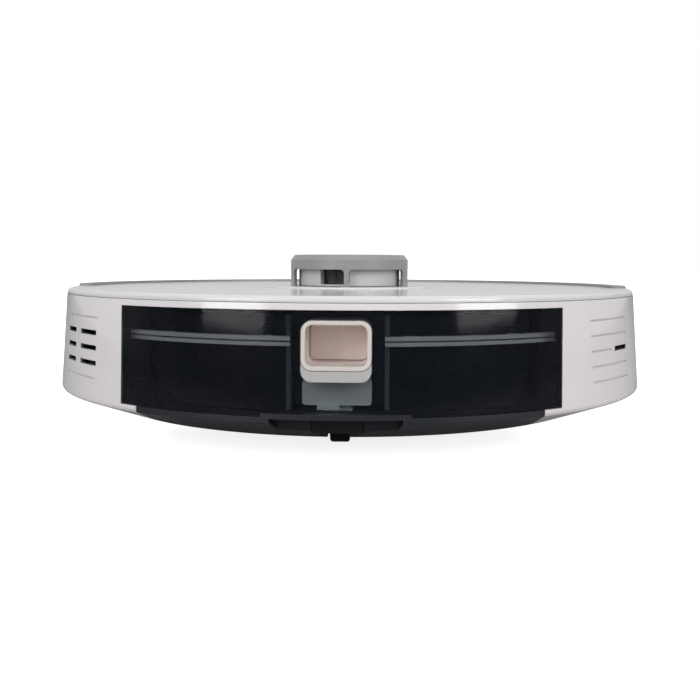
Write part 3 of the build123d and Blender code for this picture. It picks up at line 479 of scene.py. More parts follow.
@dataclass(frozen=True)
class BristleFibre:
    """Nylon filament, slightly lighter at places along it."""

    name: str
    colour: Colour = (0.05, 0.055, 0.07)

    def build(self) -> bpy.types.Material:
        """Build the material.

        Returns:
            The finished material.
        """
        sheet = ShaderSheet(self.name)
        streak = sheet.noise(900.0, 3.0, 0.6)
        sheet.put("Base Color", sheet.two_tone(streak, self.colour, shade(self.colour, 3.0)))
        sheet.put("Roughness", sheet.spread(streak, 0.34, 0.55))
        sheet.put("Sheen Weight", 0.15)
        return sheet.material


@dataclass(frozen=True)
class DarkWindow:
    """Black sensor window, nearly opaque and deep red where light gets in."""

    name: str
    colour: Colour = (0.008, 0.004, 0.006)
    roughness: float = 0.06
    glow: float = 2.4

    def build(self) -> bpy.types.Material:
        """Build the material.

        Returns:
            The finished material.
        """
        sheet = ShaderSheet(self.name)
        red, green, blue = self.colour
        warm = (red * self.glow, green, blue)
        fine = sheet.noise(300.0, 3.0)
        sheet.put("Base Color", sheet.two_tone(sheet.noise(22.0), self.colour, warm))
        sheet.put("Roughness", sheet.spread(fine, self.roughness * 0.8, self.roughness * 1.5))
        sheet.bump(sheet.noise(30.0, 1.0), 0.00004)
        return sheet.material


FINISHES = (
    MouldedPlastic(
        "shell_white", (0.70, 0.665, 0.67), roughness=0.24, mottle=0.02,
        grain=0.000006, wave=0.00005, coat=0.9, edge=0.0006,
    ),
    MouldedPlastic(
        "cover_white", (0.61, 0.605, 0.60), roughness=0.2, mottle=0.02,
        grain=0.0, coat=0.4, edge=0.0003, coat_roughness=0.12,
    ),
    MouldedPlastic(
        "base_white", (0.58, 0.57, 0.57), roughness=0.5, mottle=0.04,
        grain=0.00005, grain_scale=1400.0, wave=0.00008, dust=0.1,
    ),
    MouldedPlastic(
        "bumper_grey", (0.30, 0.305, 0.31), roughness=0.34, mottle=0.04,
        grain=0.00002, grain_scale=2200.0, wave=0.00006, coat=0.2,
    ),
    MouldedPlastic(
        "turret_grey", (0.265, 0.265, 0.26), roughness=0.34, mottle=0.04,
        grain=0.000008, grain_scale=2200.0, coat=0.12, edge=0.0004,
    ),
    MouldedPlastic(
        "head_grey", (0.52, 0.52, 0.505), roughness=0.46, mottle=0.04,
        grain_scale=2400.0, wave=0.00003,
    ),
    MouldedPlastic(
        "inner_black", (0.009, 0.009, 0.010), roughness=0.55, mottle=0.15,
        grain=0.00005, grain_scale=1500.0, wave=0.00006, dust=0.03, specular=0.2,
    ),
    MouldedPlastic(
        "tray_dark", (0.010, 0.012, 0.016), roughness=0.42, mottle=0.1,
        grain=0.00001, grain_scale=1600.0, wave=0.00006, specular=0.3, edge=0.0005,
    ),
    MouldedPlastic(
        "port_white", (0.57, 0.53, 0.50), roughness=0.36, mottle=0.02,
        grain=0.00001, grain_scale=2600.0, wave=0.00003, edge=0.0009,
    ),
    # Port apron: the port's white plastic painted darker grey. This is painted shade for its
    # place, recessed under the ring.
    MouldedPlastic(
        "apron_grey", (0.40, 0.395, 0.39), roughness=0.34, mottle=0.03,
        grain=0.00002, grain_scale=2600.0, wave=0.00003,
    ),
    MouldedPlastic(
        "duct_beige", (0.90, 0.785, 0.74), roughness=0.5, mottle=0.05, grain_scale=1600.0
    ),
    MouldedPlastic("block_grey", (0.84, 0.96, 0.98), roughness=0.42, mottle=0.06),
    MouldedPlastic("hub_grey", (0.16, 0.165, 0.175), roughness=0.42, mottle=0.06, dust=0.08),
    SoftRubber("roller_black", (0.003, 0.003, 0.003), roughness=0.6, scuff=0.05),
    SoftRubber("tyre_rubber", (0.02, 0.02, 0.021), roughness=0.78, scuff=0.35),
    MouldedPlastic(
        "caster_grey", (0.4, 0.4, 0.41), roughness=0.45, mottle=0.05, wave=0.00003, dust=0.15
    ),
    SmokedPlastic("smoked_cover"),
    FlangedPlastic("bin_plastic"),
    DarkWindow("window_black"),
    # Lens barrels in dark glass, plus a black plate at the back of the turret's window pocket.
    # The barrels are real; the plate is painted shade of the recess.
    DarkWindow("lens_black", (0.012, 0.012, 0.014), roughness=0.12),
    TurnedMetal("steel"),
    TurnedMetal("motor_can", (0.42, 0.43, 0.44), roughness=0.36),
    TurnedMetal("contact_brass", (0.78, 0.60, 0.30), roughness=0.22),
    PleatedPaper("filter_paper"),
    MouldedPlastic(
        "filter_blue", (0.05, 0.14, 0.24), roughness=0.4, mottle=0.05, grain=0.00002, wave=0.00003
    ),
    MouldedPlastic(
        "battery_wrap", (0.02, 0.07, 0.19), roughness=0.25, mottle=0.06,
        grain=0.0, wave=0.0002, coat=0.3,
    ),
    CircuitBoard("circuit_board"),
    MouldedPlastic(
        "chip_black", (0.02, 0.02, 0.021), roughness=0.5, mottle=0.1,
        grain=0.00004, grain_scale=2600.0, wave=0.0,
    ),
    MouldedPlastic(
        "light_diffuser", (0.82, 0.86, 0.9), roughness=0.4, mottle=0.02,
        grain=0.00001, grain_scale=2600.0, wave=0.0,
    ),
    MouldedPlastic("brush_core", (0.055, 0.06, 0.07), roughness=0.45, mottle=0.08),
    BristleFibre("bristle"),
    BristleFibre("bristle_pale", (0.09, 0.09, 0.1)),
)


class Palette:
    """Every finish of the machine, built once and found by name."""

    def __init__(self) -> None:
        """Build all the materials."""
        self.made = {finish.name: finish.build() for finish in FINISHES}

    def __getitem__(self, name: str) -> bpy.types.Material:
        """The material of that name."""
        return self.made[name]


# ---- Geometry Nodes helper ----
class GeometrySheet:
    """A Geometry Nodes tree under construction."""

    def __init__(self, name: str) -> None:
        """Start a tree with one geometry input and one geometry output.

        Args:
            name: Name of the tree.
        """
        self.tree = bpy.data.node_groups.new(name, "GeometryNodeTree")
        for way in ("INPUT", "OUTPUT"):
            self.tree.interface.new_socket(
                "Geometry", in_out=way, socket_type="NodeSocketGeometry"
            )
        self.enter = self.tree.nodes.new("NodeGroupInput")
        self.leave = self.tree.nodes.new("NodeGroupOutput")
        self.values: dict[str, object] = {}

    def sizes(self, **sizes: float) -> list[Socket]:
        """Add named inputs, whole numbers where the value is one.

        Args:
            sizes: Value by name, with underscores for spaces.

        Returns:
            The inputs' sockets, in the order given.
        """
        names = [name.replace("_", " ") for name in sizes]
        for name, value in zip(names, sizes.values()):
            kind = "NodeSocketInt" if isinstance(value, int) else "NodeSocketFloat"
            socket = self.tree.interface.new_socket(name, in_out="INPUT", socket_type=kind)
            socket.default_value = value
            self.values[socket.identifier] = value
        return [self.enter.outputs[name] for name in names]

    def node(
        self, kind: str, inputs: dict[object, object] | None = None, **options: object
    ) -> bpy.types.Node:
        """Add a node, set its options and fill its inputs.

        Args:
            kind: Node type.
            inputs: Values or sockets by input name or index.
            options: Attributes of the node.

        Returns:
            The node.
        """
        made = self.tree.nodes.new(kind)
        for key, value in options.items():
            setattr(made, key, value)
        for key, value in (inputs or {}).items():
            socket = made.inputs[key]
            if isinstance(value, Socket):
                self.tree.links.new(value, socket)
            else:
                socket.default_value = value
        return made

    def out(self, kind: str, **inputs: object) -> Socket:
        """Add a node and fill its inputs.

        Args:
            kind: Node type without its leading GeometryNode.
            inputs: Values or sockets by input name, with underscores for spaces.

        Returns:
            The node's first output.
        """
        named = {name.replace("_", " "): value for name, value in inputs.items()}
        return self.node("GeometryNode" + kind, named).outputs[0]

    def maths(self, operation: str, *terms: object) -> Socket:
        """One maths node on numbers or sockets."""
        return self.node("ShaderNodeMath", dict(enumerate(terms)), operation=operation).outputs[0]

    def times(self, first: object, second: object) -> Socket:
        """The product of two numbers or sockets."""
        return self.maths("MULTIPLY", first, second)

    def vector(self, x: object = 0.0, y: object = 0.0, z: object = 0.0) -> Socket:
        """Three numbers or sockets as one vector."""
        return self.node("ShaderNodeCombineXYZ", {0: x, 1: y, 2: z}).outputs[0]

    def random(self, low: object, high: object, seed: int) -> Socket:
        """A random number or vector for each point.

        Args:
            low: Lowest number or vector.
            high: Highest number or vector.
            seed: Seed of the draw.

        Returns:
            The output that matches the kind of value.
        """
        inputs = {"Min": low, "Max": high, "Seed": seed}
        kind = "FunctionNodeRandomValue"
        if isinstance(low, tuple):
            return self.node(kind, inputs, data_type="FLOAT_VECTOR").outputs[0]
        return self.node(kind, inputs, data_type="FLOAT").outputs[1]

    def join(self, *parts: Socket) -> Socket:
        """Join several geometries.

        Args:
            parts: Geometries in order.

        Returns:
            The joined geometry.
        """
        made = self.node("GeometryNodeJoinGeometry")
        for part in parts:
            self.tree.links.new(part, made.inputs[0])
        return made.outputs[0]

    def finish(
        self, geometry: Socket, material: bpy.types.Material, name: str,
        base: bpy.types.Mesh | None = None, smooth: float | None = None,
    ) -> bpy.types.Object:
        """Realise the tree into a plain mesh object at the origin.

        Args:
            geometry: Last geometry socket.
            material: Finish to set.
            name: Name of the piece.
            base: Mesh that enters the tree, if any.
            smooth: Angle in degrees under which edges shade smoothly.

        Returns:
            The finished piece.
        """
        real = self.out("RealizeInstances", Geometry=geometry)
        coloured = self.out("SetMaterial", Geometry=real, Material=material)
        self.tree.links.new(coloured, self.leave.inputs[0])
        seed = base or bpy.data.meshes.new(name + "_seed")
        carrier = bpy.data.objects.new(name + "_carrier", seed)
        bpy.context.scene.collection.objects.link(carrier)
        modifier = carrier.modifiers.new("build", "NODES")
        modifier.node_group = self.tree
        for identifier, value in self.values.items():
            modifier[identifier] = value
        graph = bpy.context.evaluated_depsgraph_get()
        mesh = bpy.data.meshes.new_from_object(carrier.evaluated_get(graph), depsgraph=graph)
        mesh.name = name
        bpy.data.objects.remove(carrier)
        return stand(mesh, name, material, smooth)


def stand(
    mesh: bpy.types.Mesh, name: str, material: bpy.types.Material, smooth: float | None = None
) -> bpy.types.Object:
    """Link a mesh as an object at the origin and dress it.

    Args:
        mesh: Mesh with its place in its vertices.
        name: Name of the piece.
        material: Finish.
        smooth: Angle in degrees under which edges shade smoothly.

    Returns:
        The object.
    """
    if not mesh.materials:
        mesh.materials.append(material)
    mesh.materials[0] = material
    if smooth is not None:
        mesh.shade_smooth()
        mesh.set_sharp_from_angle(angle=math.radians(smooth))
    piece = bpy.data.objects.new(name, mesh)
    bpy.context.scene.collection.objects.link(piece)
    LOG.info("built %s, %d faces", name, len(mesh.polygons))
    return piece


def mesh_from(name: str, build: Callable[[bmesh.types.BMesh], None]) -> bpy.types.Mesh:
    """Make a mesh with a bmesh function; normals end up outwards.

    Args:
        name: Name of the mesh.
        build: Function that fills the bmesh.

    Returns:
        The mesh.
    """
    work = bmesh.new()
    build(work)
    bmesh.ops.remove_doubles(work, verts=work.verts, dist=1e-7)
    bmesh.ops.recalc_face_normals(work, faces=work.faces)
    mesh = bpy.data.meshes.new(name)
    work.to_mesh(mesh)
    work.free()
    return mesh


def revolve_profile(
    work: bmesh.types.BMesh, profile: Sequence[tuple[float, float]],
    centre: Vector, axis: Vector, steps: int,
) -> None:
    """Turn a closed profile of (along, radius) points about an axis.

    Args:
        work: Mesh under construction.
        profile: Closed list of points.
        centre: Point on the axis where along is zero.
        axis: Unit axis.
        steps: Facets round the circle.
    """
    side = axis.orthogonal().normalized()
    other = axis.cross(side)
    rings = []
    for i in range(steps):
        turn = FULL_TURN * i / steps
        out = side * math.cos(turn) + other * math.sin(turn)
        rings.append([work.verts.new(centre + axis * a + out * r) for a, r in profile])
    count = len(profile)
    for i in range(steps):
        here, there = rings[i], rings[(i + 1) % steps]
        for j in range(count):
            k = (j + 1) % count
            work.faces.new((here[j], here[k], there[k], there[j]))


# ---- Sub-assemblies ----
def middle_of(low: Sequence[float], high: Sequence[float]) -> Vector:
    """The middle of a box given by two corners."""
    return (Vector(low) + Vector(high)) / 2


@dataclass
class SubAssembly:
    """Parts that belong together: nodes that are dressed, pieces that are made."""

    palette: Palette
    finishes: ClassVar[dict[str, str]] = {}

    def build(self) -> None:
        """Dress the carried-over nodes, then make the pieces."""
        self.dress(self.finishes)
        self.make()

    def dress(self, finishes: dict[str, str]) -> None:
        """Give carried-over nodes their finishes.

        Args:
            finishes: Name of the finish by name of the node.
        """
        for node, finish in finishes.items():
            piece = frame["nodes"][node]
            if not piece.material_slots:
                piece.data.materials.append(self.palette[finish])
            for holder in piece.material_slots:
                holder.material = self.palette[finish]
            LOG.info("dressed %s in %s", node, finish)

    def make(self) -> None:
        """Make the pieces; most sub-assemblies have none."""


class OuterShell(SubAssembly):
    """White wall, cover plate, base, bumper and what is let into them."""

    finishes = {
        "skirt_shell": "shell_white",
        "top_cover": "cover_white",
        "base_tray": "base_white",
        "battery_door": "base_white",
        "bumper": "bumper_grey",
        "bumper_window": "window_black",
        "cliff_sensors": "window_black",
        "charge_contacts": "contact_brass",
        "light_ring": "light_diffuser",
        "power_button": "cover_white",
        "home_button": "cover_white",
        "speaker": "inner_black",
        "bin_bay": "inner_black",
    }


class Turret(SubAssembly):
    """Laser turret: cap, collar, spinning head and its drive."""

    finishes = {
        "turret_cap": "turret_grey",
        "lidar_collar": "cover_white",
        "lidar_head": "head_grey",
        # Black on the lens piece: real on the barrels, painted shade on the plate at the back of
        # the window pocket.
        "lidar_lenses": "lens_black",
        "lidar_base": "inner_black",
        "lidar_motor": "motor_can",
        "lidar_pinion": "head_grey",
        "lidar_belt": "roller_black",
    }


class DustBin(SubAssembly):
    """Bin, its smoked cover, tray, filter, flaps, port and roller."""

    finishes = {
        "bin_cover": "smoked_cover",
        "bin_box": "bin_plastic",
        "bin_lid": "bin_plastic",
        "bin_tray": "tray_dark",
        "bin_latch": "inner_black",
        "port_ring": "port_white",
        # The apron's darker grey is painted shade of its recess under the port ring.
        "port_apron": "apron_grey",
        "port_duct": "duct_beige",
        "port_flap": "duct_beige",
        "duct_block": "block_grey",
        "inlet_flap": "roller_black",
        "filter_frame": "filter_blue",
        "filter_pleats": "filter_paper",
        "rear_roller": "roller_black",
    }


class Workings(SubAssembly):
    """What is inside or under the machine and keeps its own shape."""

    finishes = {
        "battery_case": "battery_wrap",
        "pivot_pins": "steel",
        "arm_springs": "steel",
        "fan_housing": "inner_black",
        "fan_impeller": "head_grey",
        "main_board": "circuit_board",
        "board_parts": "chip_black",
        "caster_fork": "inner_black",
        "caster_wheel": "caster_grey",
    }


@dataclass
class Screws(SubAssembly):
    """Cross-head screws of the base plate, made once and set on every spot."""

    head_radius: float = 0.0029
    head_height: float = 0.0019
    head_facets: int = 40
    slot_length: float = 0.0034
    slot_width: float = 0.0008
    slot_drop: float = -0.55
    same_screw: float = 0.008

    def spots(self) -> list[Vector]:
        """Centres of the screws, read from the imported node's own solids.

        Returns:
            One point per screw, at the height of the head's lower face.
        """
        corners = [vertex.co.copy() for vertex in frame["nodes"]["base_screws"].data.vertices]
        lowest = min(corner.z for corner in corners)
        groups: list[list[Vector]] = []
        for corner in corners:
            for group in groups:
                if (group[0].xy - corner.xy).length < self.same_screw:
                    group.append(corner)
                    break
            else:
                groups.append([corner])
        centres = []
        for group in groups:
            low = Vector((min(c.x for c in group), min(c.y for c in group)))
            high = Vector((max(c.x for c in group), max(c.y for c in group)))
            centres.append(Vector((*middle_of(low, high), lowest)))
        return centres

    def make(self) -> None:
        """Set a cross-head on every spot with Geometry Nodes."""
        points = bpy.data.meshes.new("screw_spots")
        points.from_pydata([tuple(s) for s in self.spots()], [], [])
        g = GeometrySheet("screw_heads")
        radius, height, length, width = g.sizes(
            Head_Radius=self.head_radius, Head_Height=self.head_height,
            Slot_Length=self.slot_length, Slot_Width=self.slot_width,
        )
        head = g.out("MeshCylinder", Vertices=self.head_facets, Radius=radius, Depth=height)
        drop = g.vector(z=g.times(height, self.slot_drop))
        for slot in (g.vector(length, width, height), g.vector(width, length, height)):
            bar = g.out("Transform", Geometry=g.out("MeshCube", Size=slot), Translation=drop)
            boolean = g.node("GeometryNodeMeshBoolean", operation="DIFFERENCE")
            g.tree.links.new(head, boolean.inputs[0])
            g.tree.links.new(bar, boolean.inputs[1])
            head = boolean.outputs[0]
        lift = g.vector(z=g.times(height, 0.5))
        raised = g.out("Transform", Geometry=head, Translation=lift)
        placed = g.out("InstanceOnPoints", Points=g.enter.outputs[0], Instance=raised)
        piece = g.finish(placed, self.palette["steel"], "screw_heads", points)
        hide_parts("base_screws")
        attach(piece, "chassis")


@dataclass
class DriveModule(SubAssembly):
    """One drive wheel with its treaded tyre, hub and suspension arm."""

    side: Side = Side.LEFT
    lug_count: int = 36
    lug_depth: float = 0.0016
    lug_width: float = 0.0030
    lug_share: float = 0.86
    lug_skew: float = 0.0024
    lug_taper: float = -120.0
    row_share: float = 0.47
    clearance: float = 0.00008
    facets: int = 120

    def build(self) -> None:
        """Dress the arm and hub and build the tyre."""
        word = self.side.word
        self.dress({f"drive_arm_{word}": "inner_black", f"wheel_hub_{word}": "hub_grey"})
        self.make()

    def make(self) -> None:
        """Build the tyre: a turned carcass and chevron lugs set round it."""
        word = self.side.word
        low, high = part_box(f"tyre_{word}")
        centre = middle_of(low, high)
        outer = (high[2] - low[2]) / 2 - self.clearance
        half = (high[0] - low[0]) / 2
        tread = outer - self.lug_depth
        wall = [
            (0.0002, outer - 0.0068), (0.0, outer - 0.006), (0.0, tread - 0.0014),
            (0.0004, tread - 0.0005), (0.0013, tread),
        ]
        profile = [(-half + inward, radius) for inward, radius in wall]
        profile += [(half - inward, radius) for inward, radius in reversed(wall)]
        carcass = mesh_from(
            f"tyre_carcass_{word}",
            lambda work: revolve_profile(
                work, profile, centre, Vector((1, 0, 0)), self.facets
            ),
        )
        g = GeometrySheet(f"tyre_lugs_{word}")
        lugs, radius, depth, width, side, skew = g.sizes(
            Lugs=self.lug_count, Tread_Radius=tread, Lug_Depth=self.lug_depth,
            Lug_Width=self.lug_width, Half_Width=half, Skew=self.lug_skew,
        )
        ring = g.out("MeshCircle", Vertices=lugs, Radius=radius)
        length = g.times(side, self.lug_share)
        block = g.out("MeshCube", Size=g.vector(length, width, g.times(depth, 2.0)))
        spot = g.node("ShaderNodeSeparateXYZ", {0: g.out("InputPosition")}).outputs
        bend = g.times(g.maths("DIVIDE", spot[0], length), skew)
        taper = g.times(g.times(spot[1], spot[2]), self.lug_taper)
        index = g.out("InputIndex")
        rows = []
        for direction, offset in ((-1.0, 0.0), (1.0, 0.5)):
            lean = g.vector(y=g.maths("ADD", g.times(bend, direction), taper))
            skewed = g.out("SetPosition", Geometry=block, Offset=lean)
            aside = g.vector(g.times(side, self.row_share * direction))
            lug = g.out("Transform", Geometry=skewed, Translation=aside)
            spin = g.times(g.maths("ADD", index, offset), -FULL_TURN / self.lug_count)
            place = g.vector(
                0.0, g.times(g.maths("SINE", g.times(spin, -1.0)), radius),
                g.times(g.maths("COSINE", spin), radius),
            )
            points = g.out("SetPosition", Geometry=ring, Position=place)
            rows.append(
                g.out("InstanceOnPoints", Points=points, Instance=lug, Rotation=g.vector(spin))
            )
        tread_ring = g.out("Transform", Geometry=g.join(*rows), Translation=tuple(centre))
        tyre = g.join(tread_ring, g.enter.outputs[0])
        piece = g.finish(
            tyre, self.palette["tyre_rubber"], f"treaded_tyre_{word}", carcass, 40
        )
        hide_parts(f"tyre_{word}")
        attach(piece, f"{word}_wheel")


@dataclass
class MainBrush(SubAssembly):
    """Brush core with rows of tufts that wind round it in a V."""

    finishes = {
        "brush_core": "brush_core",
        "brush_motor": "inner_black",
        "brush_guard": "inner_black",
        "guard_latch": "hub_grey",
    }
    rows: int = 6
    tufts: int = 56
    hairs: int = 12
    twist: float = 1.1
    hair_radius: float = 0.00016
    tip_share: float = 0.6
    length_share: float = 0.97
    end_gap: float = 0.004
    tuft_radius: float = 0.0009
    lean: float = 0.09

    def make(self) -> None:
        """Instance bundles of tapered hairs along the V-shaped rows."""
        low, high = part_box("brush_bristles")
        core_low, core_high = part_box("brush_core")
        g = GeometrySheet("brush_tufts")
        rows, tufts, span, core, reach, twist, thickness = g.sizes(
            Rows=self.rows, Tufts=self.tufts, Span=high[0] - low[0] - self.end_gap,
            Core_Radius=(core_high[2] - core_low[2]) / 2, Reach=(high[1] - low[1]) / 2,
            Twist=self.twist, Hair_Radius=self.hair_radius,
        )
        line = g.out("MeshLine", Count=g.times(rows, tufts))
        index = g.out("InputIndex")
        row = g.maths("FLOOR", g.maths("DIVIDE", index, tufts))
        last = g.maths("SUBTRACT", tufts, 1.0)
        step = g.maths("DIVIDE", g.maths("MODULO", index, tufts), last)
        across = g.maths("SUBTRACT", step, 0.5)
        fold = g.times(g.maths("ABSOLUTE", across), 2.0)
        start = g.times(g.maths("DIVIDE", row, rows), FULL_TURN)
        turn = g.maths("ADD", start, g.times(fold, twist))
        place = g.vector(
            g.times(across, span),
            g.times(g.times(g.maths("SINE", turn), -1.0), core),
            g.times(g.maths("COSINE", turn), core),
        )
        points = g.out("SetPosition", Geometry=line, Position=place)
        length = g.times(g.maths("SUBTRACT", reach, core), self.length_share)
        hair = g.out(
            "MeshCone", Vertices=4, Radius_Top=g.times(thickness, self.tip_share),
            Radius_Bottom=thickness, Depth=length,
        )
        near, bent = self.tuft_radius, self.lean
        scatter = g.random((-near, -near, 0.0), (near, near, 0.0), SEED)
        roots = g.out(
            "SetPosition", Geometry=g.out("MeshLine", Count=self.hairs), Position=scatter
        )
        lean = g.random((-bent, -bent, 0.0), (bent, bent, 3.0), SEED + 1)
        bundle = g.out("InstanceOnPoints", Points=roots, Instance=hair, Rotation=lean)
        tuft = g.out("RealizeInstances", Geometry=bundle)
        around = g.out("InstanceOnPoints", Points=points, Instance=tuft, Rotation=g.vector(turn))
        centre = tuple(middle_of(low, high))
        moved = g.out("Transform", Geometry=around, Translation=centre)
        piece = g.finish(moved, self.palette["bristle"], "brush_tufts", None, 30)
        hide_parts("brush_bristles")
        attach(piece, "main_brush")


@dataclass
class SideBrush(SubAssembly):
    """Three-armed side brush with real filaments."""

    finishes = {"side_brush_hub": "brush_core", "side_brush_motor": "inner_black"}
    arms: int = 3
    filaments: int = 60
    filament_radius: float = 0.00022
    tip_share: float = 0.6
    first_arm: float = math.radians(10)
    start: float = 0.0185
    reach: float = 0.0578
    half_width: float = 0.0016
    half_height: float = 0.0009
    fan: float = 0.045
    shortest: float = 0.93

    def make(self) -> None:
        """Lay the filaments out in flat bundles, one bundle for each arm."""
        joint = next(j for j in frame["joints"] if j["name"] == "side_brush_spin")
        hub = Vector(joint["pos_m"])
        level = middle_of(*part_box("side_brush_bristles")).z
        g = GeometrySheet("side_filaments")
        count, start, reach, thickness = g.sizes(
            Filaments=self.filaments, Start=self.start, Reach=self.reach,
            Filament_Radius=self.filament_radius,
        )
        line = g.out("MeshLine", Count=g.times(count, self.arms))
        arm = g.maths("MODULO", g.out("InputIndex"), self.arms)
        angle = g.maths("ADD", g.times(arm, FULL_TURN / self.arms), self.first_arm)
        cosine, sine = g.maths("COSINE", angle), g.maths("SINE", angle)
        jitter = g.random(-1.0, 1.0, SEED)
        lift = g.random(-self.half_height, self.half_height, SEED + 2)
        trim = g.random(self.shortest, 1.0, SEED + 3)
        flat = g.times(jitter, self.half_width)
        place = g.vector(
            g.maths("SUBTRACT", g.times(cosine, start), g.times(sine, flat)),
            g.maths("ADD", g.times(sine, start), g.times(cosine, flat)),
            lift,
        )
        points = g.out("SetPosition", Geometry=line, Position=place)
        hair = g.out(
            "MeshCone", Vertices=5, Side_Segments=3,
            Radius_Top=g.times(thickness, self.tip_share), Radius_Bottom=thickness,
            Depth=g.maths("SUBTRACT", reach, start),
        )
        laid = g.out("Transform", Geometry=hair, Rotation=(0.0, math.pi / 2, 0.0))
        heading = g.maths("ADD", angle, g.times(jitter, self.fan))
        placed = g.out(
            "InstanceOnPoints", Points=points, Instance=laid,
            Rotation=g.vector(z=heading), Scale=g.vector(trim, 1.0, 1.0),
        )
        moved = g.out("Transform", Geometry=placed, Translation=(hub.x, hub.y, level))
        piece = g.finish(moved, self.palette["bristle_pale"], "side_brush_filaments", None, 30)
        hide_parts("side_brush_bristles")
        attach(piece, "side_brush")


# ---- Studio ----
@dataclass(frozen=True)
class SoftBox:
    """A rectangular soft light that faces the machine.

    Azimuth and elevation are in degrees, from straight behind towards the
    right and above the floor; distance and size are in metres, power in watts.
    """

    name: str
    azimuth: float
    elevation: float
    distance: float
    size: tuple[float, float]
    power: float
    aim_height: float = 0.05

    def build(self) -> None:
        """Place the light."""
        lamp = bpy.data.lights.new(self.name, "AREA")
        lamp.shape = "RECTANGLE"
        lamp.size, lamp.size_y = self.size
        lamp.energy = self.power
        holder = bpy.data.objects.new(self.name, lamp)
        turn, rise = math.radians(self.azimuth), math.radians(self.elevation)
        out = Vector((
            math.sin(turn) * math.cos(rise), -math.cos(turn) * math.cos(rise), math.sin(rise)
        ))
        holder.location = Vector((0, 0, self.aim_height)) + out * self.distance
        holder.rotation_mode = "QUATERNION"
        holder.rotation_quaternion = out.to_track_quat("Z", "Y")
        bpy.context.scene.collection.objects.link(holder)


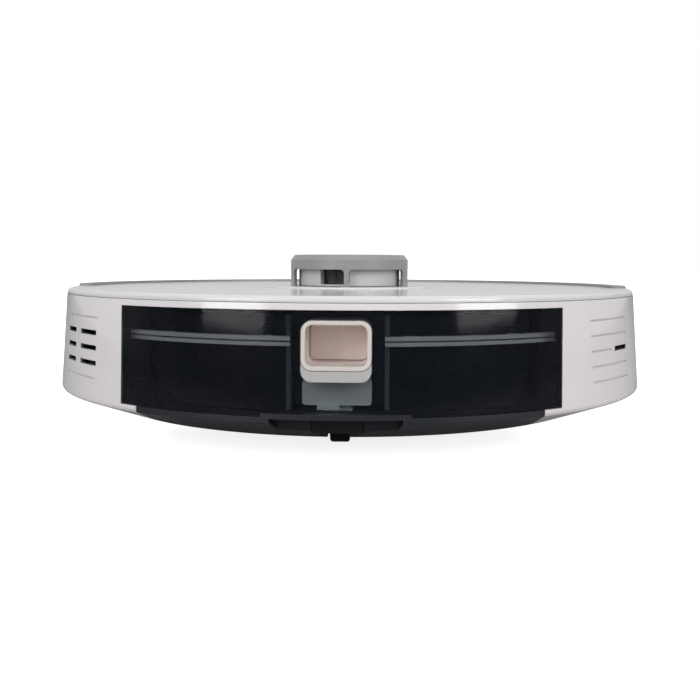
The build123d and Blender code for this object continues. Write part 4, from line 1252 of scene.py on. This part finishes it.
@dataclass
class Studio:
    """Pale floor, soft lights and the camera behind the machine."""

    distance: float = 0.560
    height: float = 0.09256
    azimuth: float = 0.0359
    pitch: float = 0.0988
    roll: float = 0.0042
    lens: float = 44.97
    floor_glow: float = 0.82
    floor_bounce: float = 0.32
    near_low: float = 0.05
    near_high: float = 0.62
    far_level: float = 0.60
    near_ramp: tuple[float, float] = (0.02, 0.55)
    side_ramp: tuple[float, float] = (-0.45, 0.15)
    floor_size: float = 14.0
    boxes: tuple[SoftBox, ...] = (
        SoftBox("key_left", -40.0, 23.0, 2.2, (0.95, 1.5), 18.5),
        SoftBox("key_right", 52.0, 23.0, 2.2, (0.95, 1.5), 19.5),
        SoftBox("fill", 0.0, 24.0, 1.7, (1.4, 1.0), 5.0),
        SoftBox("overhead", 0.0, 84.0, 2.3, (2.2, 2.2), 7.0),
        SoftBox("far_rim", 180.0, 40.0, 2.6, (2.4, 1.2), 5.0),
        SoftBox("below", 0.0, -86.0, 1.3, (1.6, 1.6), 12.0),
    )

    def build(self) -> None:
        """Make the floor, the world, the lights and the camera."""
        self._floor()
        self._world()
        for box in self.boxes:
            box.build()
        self._camera()
        view = bpy.context.scene.view_settings
        view.view_transform = "Standard"
        view.look = "None"

    def _floor(self) -> None:
        """A wide pale floor that lets the light below it through to the base."""
        sheet = ShaderSheet("studio_floor")
        sheet.put("Base Color", (0.9, 0.9, 0.9, 1.0))
        sheet.put("Roughness", 0.8)
        sheet.put("Specular IOR Level", 0.1)
        sheet.put("Emission Color", (1.0, 1.0, 1.0, 1.0))
        sheet.put("Emission Strength", self.floor_glow)
        dim = sheet.tree.nodes.new("ShaderNodeBsdfDiffuse")
        dim.inputs["Color"].default_value = (*(self.floor_bounce,) * 3, 1.0)
        path = sheet.tree.nodes.new("ShaderNodeLightPath")
        mix = sheet.tree.nodes.new("ShaderNodeMixShader")
        sheet.link(path.outputs["Is Camera Ray"], mix.inputs[0])
        sheet.link(dim.outputs[0], mix.inputs[1])
        sheet.link(sheet.bsdf.outputs[0], mix.inputs[2])
        clear = sheet.tree.nodes.new("ShaderNodeBsdfTransparent")
        side = sheet.tree.nodes.new("ShaderNodeNewGeometry")
        open_below = sheet.tree.nodes.new("ShaderNodeMixShader")
        either = sheet.maths("MAXIMUM", side.outputs["Backfacing"], path.outputs["Is Shadow Ray"])
        sheet.link(either, open_below.inputs[0])
        sheet.link(mix.outputs[0], open_below.inputs[1])
        sheet.link(clear.outputs[0], open_below.inputs[2])
        sheet.link(open_below.outputs[0], sheet.output.inputs["Surface"])

        def build(work: bmesh.types.BMesh) -> None:
            """One flat sheet of four squares."""
            bmesh.ops.create_grid(work, x_segments=2, y_segments=2, size=self.floor_size)

        floor = stand(mesh_from("studio_floor", build), "studio_floor", sheet.material)

    def _world(self) -> None:
        """Soft surroundings, dim and low behind the camera, white behind all."""
        world = bpy.data.worlds.new("studio")
        world.use_nodes = True
        tree = world.node_tree
        tree.nodes.clear()
        out = tree.nodes.new("ShaderNodeOutputWorld")
        white = tree.nodes.new("ShaderNodeBackground")
        white.inputs[0].default_value = (1.0, 1.0, 1.0, 1.0)
        white.inputs[1].default_value = 1.0
        grey = tree.nodes.new("ShaderNodeBackground")
        grey.inputs[0].default_value = (0.98, 0.985, 1.0, 1.0)
        direction = tree.nodes.new("ShaderNodeTexCoord").outputs["Generated"]
        split = tree.nodes.new("ShaderNodeSeparateXYZ")
        tree.links.new(direction, split.inputs[0])
        near = map_range(
            tree, split.outputs[2], *self.near_ramp, self.near_low, self.near_high
        )
        side = map_range(tree, split.outputs[1], *self.side_ramp, 0.0, 1.0)
        blend = tree.nodes.new("ShaderNodeMix")
        tree.links.new(side, blend.inputs[0])
        tree.links.new(near, blend.inputs[2])
        blend.inputs[3].default_value = self.far_level
        tree.links.new(blend.outputs[0], grey.inputs[1])
        path = tree.nodes.new("ShaderNodeLightPath")
        mix = tree.nodes.new("ShaderNodeMixShader")
        tree.links.new(path.outputs["Is Camera Ray"], mix.inputs[0])
        tree.links.new(grey.outputs[0], mix.inputs[1])
        tree.links.new(white.outputs[0], mix.inputs[2])
        tree.links.new(mix.outputs[0], out.inputs[0])
        bpy.context.scene.world = world

    def _camera(self) -> None:
        """Place the camera low behind the machine."""
        data = bpy.data.cameras.new("camera")
        data.sensor_width = 36.0
        data.lens = self.lens
        data.clip_start = 0.01
        camera = bpy.data.objects.new("camera", data)
        a, p, r = self.azimuth, self.pitch, self.roll
        forward = Vector((-math.sin(a) * math.cos(p), math.cos(a) * math.cos(p), -math.sin(p)))
        right = Vector((math.cos(a), math.sin(a), 0.0))
        up = right.cross(forward)
        tilted_right = right * math.cos(r) + up * math.sin(r)
        tilted_up = up * math.cos(r) - right * math.sin(r)
        basis = Matrix((tilted_right, tilted_up, -forward)).transposed().to_4x4()
        spot = Vector((self.distance * math.sin(a), -self.distance * math.cos(a), self.height))
        camera.matrix_world = Matrix.Translation(spot) @ basis
        bpy.context.scene.collection.objects.link(camera)
        bpy.context.scene.camera = camera


def main() -> None:
    """Dress and build every sub-assembly, then the studio."""
    logging.basicConfig(level=logging.INFO, format="%(name)s: %(message)s")
    palette = Palette()
    for assembly in (OuterShell, Turret, DustBin, Workings, Screws):
        assembly(palette).build()
    for side in Side:
        DriveModule(palette, side).build()
    MainBrush(palette).build()
    SideBrush(palette).build()
    Studio().build()


if __name__ == "__main__":
    main()
